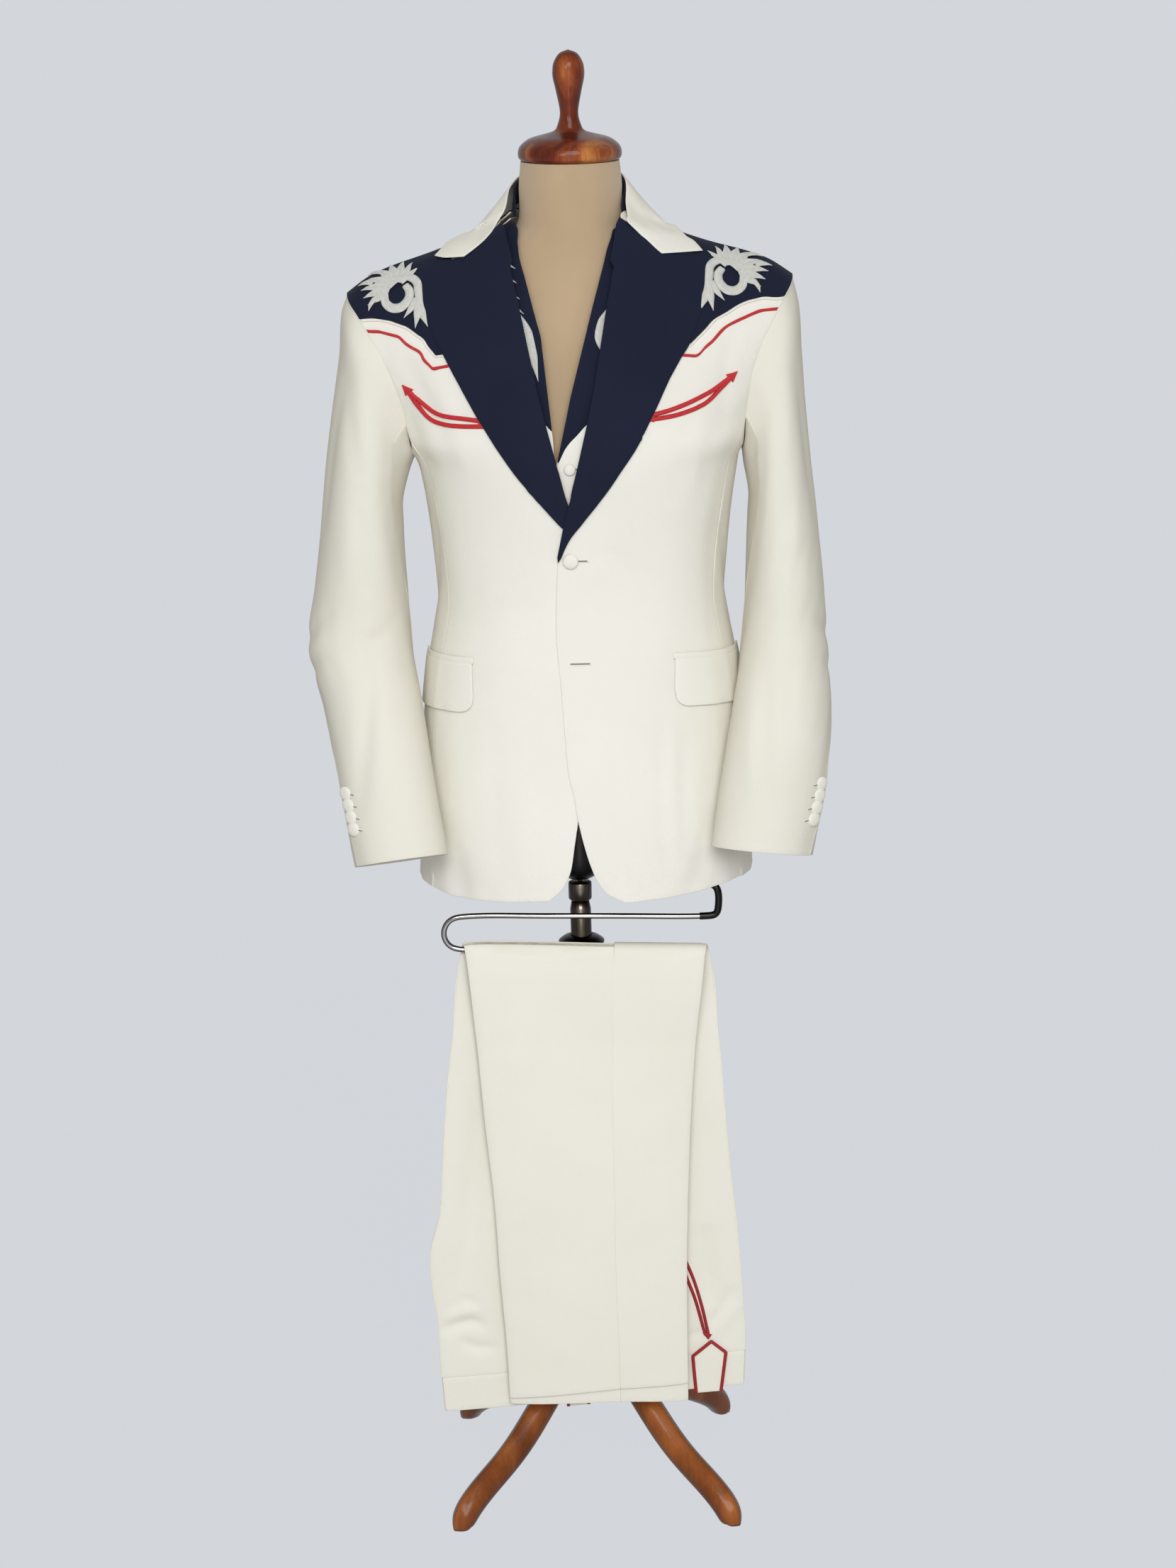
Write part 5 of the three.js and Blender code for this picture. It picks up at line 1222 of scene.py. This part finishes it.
def cuff_row(hand, across):
    """Four covered buttons beside the back seam of a cuff, each with its buttonhole."""
    node = f"jacket_cuff_buttons_{hand}"
    cloud = np.array([v.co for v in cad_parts[node].data.vertices])
    _, _, axes = np.linalg.svd(cloud - cloud.mean(0), full_matrices=False)
    row = [cloud.mean(0) + axes[0] * CUFF_PITCH * (k - 1.5) for k in range(4)]
    buttons(node, row, 0.0079, 0.0036, [f"jacket_sleeve_{hand}"], forwards=0.45)
    tree = tree_of(*MADE[f"jacket_sleeve_{hand}"])
    parts, painted_shade_slits = [], []
    for place in row:
        near, normal, _, _ = tree.find_nearest(Vector(place))
        level = normal.cross(Vector((0, 0, 1)))
        sideways = level.normalized() * (1 if level.x * across > 0 else -1)
        hits = [tree.find_nearest(near + sideways * (0.004 + 0.0006 * k)) for k in range(18)]
        places, normals = np.array([h[0] for h in hits]), np.array([h[1] for h in hits])
        up = unit(np.cross(normals, np.gradient(places, axis=0)))
        # Painted shade: a black thread along each slit stands in for the shadow in the cut.
        painted_shade_slits.append(rope(places[:-1] + normals[:-1] * 0.0001, normals[:-1], 0.0003))
        ring = np.vstack([places + up * 0.0008, (places - up * 0.0008)[::-1]])
        both = np.vstack([normals, normals[::-1]])
        parts.append(rope(ring + both * 0.0001, both, 0.00045, True))
    sewn(f"cuff_buttonholes_{hand}", parts, HOLE_SILK)
    sewn(f"cuff_buttonhole_painted_shade_slits_{hand}", painted_shade_slits, BLACK)


CUFF_PITCH = 0.0132     # from one cuff button to the next
JACKET_FRONT = ["jacket_front_right"]
WAISTCOAT_FRONT = ["waistcoat_front_right"]
buttons("jacket_button", [(-0.0081, -0.112, 1.0921)], 0.0084, 0.0042, JACKET_FRONT)
buttonhole("jacket_buttonhole_upper", -6, 10.5, 1092.6, JACKET_FRONT)
buttonhole("jacket_buttonhole_lower", -10.6, 11.4, 980.5, JACKET_FRONT)
buttons("waistcoat_button", [(-0.007, -0.116, 1.1916)], 0.00625, 0.003, WAISTCOAT_FRONT)
buttonhole("waistcoat_buttonhole", -6, 4.5, 1191.8, WAISTCOAT_FRONT)
cuff_row("left", 1)
cuff_row("right", -1)

# Red piping sewn along the pointed belt loops of the trousers.
LOOP_EDGES = {
    "side": [(115.5, 132.5), (112.6, 176), (133.6, 193.2), (149.8, 179.6), (144, 134.5)],
    "middle": [(-28.6, 119.6), (-29.4, 164.6), (-18, 175.2), (-5.6, 165.6), (-5.6, 121.6)],
}
for name, line in LOOP_EDGES.items():
    line = evenly(line, 0.9)
    between_falls = BAR_Y - FALL_LEAN * (BAR_Z - line[:, 1] / 1000)
    names = [f"trousers_loop_{name}"]
    found = [from_front([point], names, depth) for point, depth in zip(line, between_falls)]
    places, normals = (np.vstack(rows) for rows in zip(*found))
    piping = rope(places + normals * 0.0003, normals, 0.0019, sides=12)
    sewn(f"belt_loop_piping_{name}", [piping], DARK_RED)


# ---------- form and stand ----------
def turned(name, profile, material, slot, node):
    """A turned piece: its profile, radius and height in millimetres, about its node's upright axis."""
    low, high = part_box(node)
    piece = spun(name, [(r / 1000, z / 1000) for r, z in profile], 96)
    piece.data.transform(Matrix.Translation(((low[0] + high[0]) / 2, (low[1] + high[1]) / 2, 0)))
    finished(piece, material, node)


CAP = [(51.6, 1504.3), (54.6, 1507.5), (55.4, 1511.5), (54.6, 1516.5), (51.5, 1521.5), (42.3, 1527.8),
       (27, 1532), (16.5, 1535.5), (12.6, 1541.5), (9.8, 1555), (13.5, 1576), (16.6, 1590), (17, 1598),
       (15.4, 1607), (9.5, 1616), (0, 1620)]
BOSS = [(0, 712), (9, 712.8), (17, 716), (23, 723), (26, 735), (27, 752)]
KNOB = [(0, 688), (11, 688), (12.2, 688.8), (13, 690.2), (13, 706.8), (12.6, 708.2), (11.3, 709), (0, 709)]
FLANGE = [(12.5, 638), (24.8, 638), (25.5, 638.7), (25.5, 640.8), (24.6, 641.7), (20, 645), (14, 647.5),
          (12.5, 647.5), (12.5, 638)]
HUB_LOW = [(24, 95), (31, 102), (34, 110)]
HUB_HIGH = [(34, 160), (31, 174), (26, 184), (20, 190)]
turned("finial_cap", [(0, 1504.3)] + curve_through(CAP), CAP_WOOD, "cap_wood", "form_cap")
turned("boss_under_form", curve_through(BOSS) + [(27, 799.7), (0, 799.7)], BLACK, "black", "stand_boss")
turned("knob", KNOB, STEEL, "steel", "stand_knob")
turned("flange", FLANGE, BLACK, "black", "stand_flange")
turned("hub", [(0, 92), (17, 92)] + curve_through(HUB_LOW, 4) + HUB_HIGH[:1]
       + curve_through(HUB_HIGH, 4)[1:] + [(0, 190)], LEG_WOOD, "leg_wood", "stand_hub")


def rounded_copy(node, name, material):
    """A loft's own quads, made round by subdivision, with the ends kept crisp."""
    piece = placed(name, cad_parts[node].data.copy())
    bm = bmesh.new()
    bm.from_mesh(piece.data)
    bmesh.ops.remove_doubles(bm, verts=bm.verts, dist=SAME_PLACE)
    bmesh.ops.join_triangles(bm, faces=bm.faces, angle_face_threshold=math.radians(12),
                             angle_shape_threshold=math.radians(70))
    layer = bm.edges.layers.float.get("crease_edge") or bm.edges.layers.float.new("crease_edge")
    for edge in bm.edges:
        if len(edge.link_faces) == 2 and edge.calc_face_angle(0) > math.radians(50):
            edge[layer] = 0.85
    bm.to_mesh(piece.data)
    bm.free()
    piece.data.polygons.foreach_set("use_smooth", [True] * len(piece.data.polygons))
    smooth = piece.modifiers.new("round", "SUBSURF")
    smooth.levels = 2
    select_only(piece)
    bpy.ops.object.modifier_apply(modifier=smooth.name)
    piece.data.materials.clear()
    return finished(piece, material, node)


for place in ("front_left", "front_right", "back_left", "back_right"):
    rounded_copy(f"stand_leg_{place}", f"leg_{place}", LEG_WOOD)
bar = rounded_copy("stand_bar", "bar", CHROME)
rounded_copy("stand_pole", "pole", STEEL)
rounded_copy("stand_stem", "stem", STEEL)


def bar_elbow(start=0.1265, stands_off=0.0009):
    """The black sleeve over the bar's last bend and its upright."""
    bm = bmesh.new()
    bm.from_mesh(bar.data)
    everything = bm.verts[:] + bm.edges[:] + bm.faces[:]
    bmesh.ops.bisect_plane(bm, geom=everything, plane_co=(start, 0, 0), plane_no=(1, 0, 0), clear_inner=True)
    lower_run = [face for face in bm.faces if face.calc_center_median().z < BAR_Z + 0.012]
    bmesh.ops.delete(bm, geom=lower_run, context="FACES")
    bmesh.ops.triangulate(bm, faces=bm.faces)
    bmesh.ops.delete(bm, geom=[vert for vert in bm.verts if not vert.link_faces], context="VERTS")
    bm.verts.index_update()
    verts = np.array([vert.co for vert in bm.verts])
    tris = np.array([[vert.index for vert in face.verts] for face in bm.faces])
    bm.free()
    verts = verts + smooth_normals(verts, tris) * stands_off
    sewn("bar_elbow", [walled(verts, tris, verts[:, [0, 2]], stands_off * 0.9, 2)], BLACK)


bar_elbow()


def form_cover():
    """The padded form under its cover, smooth all round and closed above and below."""
    verts, tris = outer_sheet("form_torso", OUT)
    verts, _, tris = refine(verts, verts[:, :2], tris, 3)
    verts = relax(verts, tris, 6)
    rest = verts[:, :2] - axis_at(AXIS, verts[:, 2])
    around = np.arctan2(rest[:, 0], -rest[:, 1]) * np.median(np.linalg.norm(rest, axis=1))
    piece = make_object("form_cover", verts, tris, np.stack([around, verts[:, 2]], 1))
    select_only(piece)
    bpy.ops.object.mode_set(mode="EDIT")
    bpy.ops.mesh.select_all(action="DESELECT")
    bpy.ops.mesh.select_non_manifold()
    bpy.ops.mesh.fill_holes(sides=0)
    bpy.ops.object.mode_set(mode="OBJECT")
    finished(piece, LINEN, "form_torso")
    bpy.ops.object.shade_smooth_by_angle(angle=math.radians(35))


form_cover()


# ---------- camera, light, floor ----------
CAMERA_PLACE = (0.00635, -4.0, 1.8488)
PITCH, ROLL = math.radians(14.408), math.radians(1.059)
camera = placed("camera", bpy.data.cameras.new("camera"))
camera.matrix_world = (Matrix.Translation(CAMERA_PLACE) @ Matrix.Rotation(math.pi / 2 - PITCH, 4, "X")
                       @ Matrix.Rotation(-ROLL, 4, "Z"))
camera.data.lens = 85.7
camera.data.sensor_width = 36
camera.data.clip_end = 100
bpy.context.scene.camera = camera


def backdrop():
    """A pale studio sweep: floor, a wide curve and a wall."""
    floor_end, bend = 2.2, 1.6
    profile = [(-9.0, 0.0), (floor_end, 0.0)]
    for turn in np.linspace(0, math.pi / 2, 16)[1:]:
        profile.append((floor_end + bend * math.sin(turn), bend - bend * math.cos(turn)))
    profile.append((floor_end + bend, 9.0))
    verts = [(x, y, z) for y, z in profile for x in (-14.0, 14.0)]
    faces = [(2 * k, 2 * k + 1, 2 * k + 3, 2 * k + 2) for k in range(len(profile) - 1)]
    piece = make_object("studio_sweep", verts, faces)
    material, tree, shader = new_material("pale_paper", 1.0, Specular_IOR_Level=0.0, Emission_Strength=1.0)
    noise = texture(tree, "Noise", coordinates(tree, "Object"), Scale=0.6)
    paper = ramp(tree, noise, [(0.3, (0.640, 0.661, 0.698)), (0.7, (0.645, 0.666, 0.703))])
    tree.links.new(paper, shader.inputs["Emission Color"])
    shader.inputs["Base Color"].default_value = (0.012, 0.012, 0.012, 1)
    piece.visible_diffuse = False
    piece.data.materials.append(material)


backdrop()


def softbox(name, place, aim, size, power):
    light = placed(name, bpy.data.lights.new(name, "AREA"))
    light.location = place
    light.rotation_euler = (Vector(aim) - Vector(place)).to_track_quat("-Z", "Y").to_euler()
    light.data.shape = "RECTANGLE"
    light.data.size, light.data.size_y = size
    light.data.energy = power
    light.visible_camera = False


def sun(name, direction, strength, spread):
    light = placed(name, bpy.data.lights.new(name, "SUN"))
    light.rotation_euler = Vector(direction).to_track_quat("-Z", "Y").to_euler()
    light.data.energy = strength
    light.data.angle = math.radians(spread)


bpy.context.scene.view_settings.view_transform = "Standard"
world = bpy.data.worlds.new("studio")
bpy.context.scene.world = world
world.use_nodes = True
world.node_tree.nodes["Background"].inputs["Color"].default_value = (1, 1, 1, 1)
world.node_tree.nodes["Background"].inputs["Strength"].default_value = 0.43
sun("high_front_light", (-0.10, 0.86, -0.48), 1.25, 30)
softbox("front_box", (-0.9, -3.2, 2.6), (0, 0, 1.1), (0.7, 1.2), 18)
softbox("middle_strip", (0.02, -0.95, 0.95), (0.0, 0, 0.90), (0.25, 1.7), 1.9)
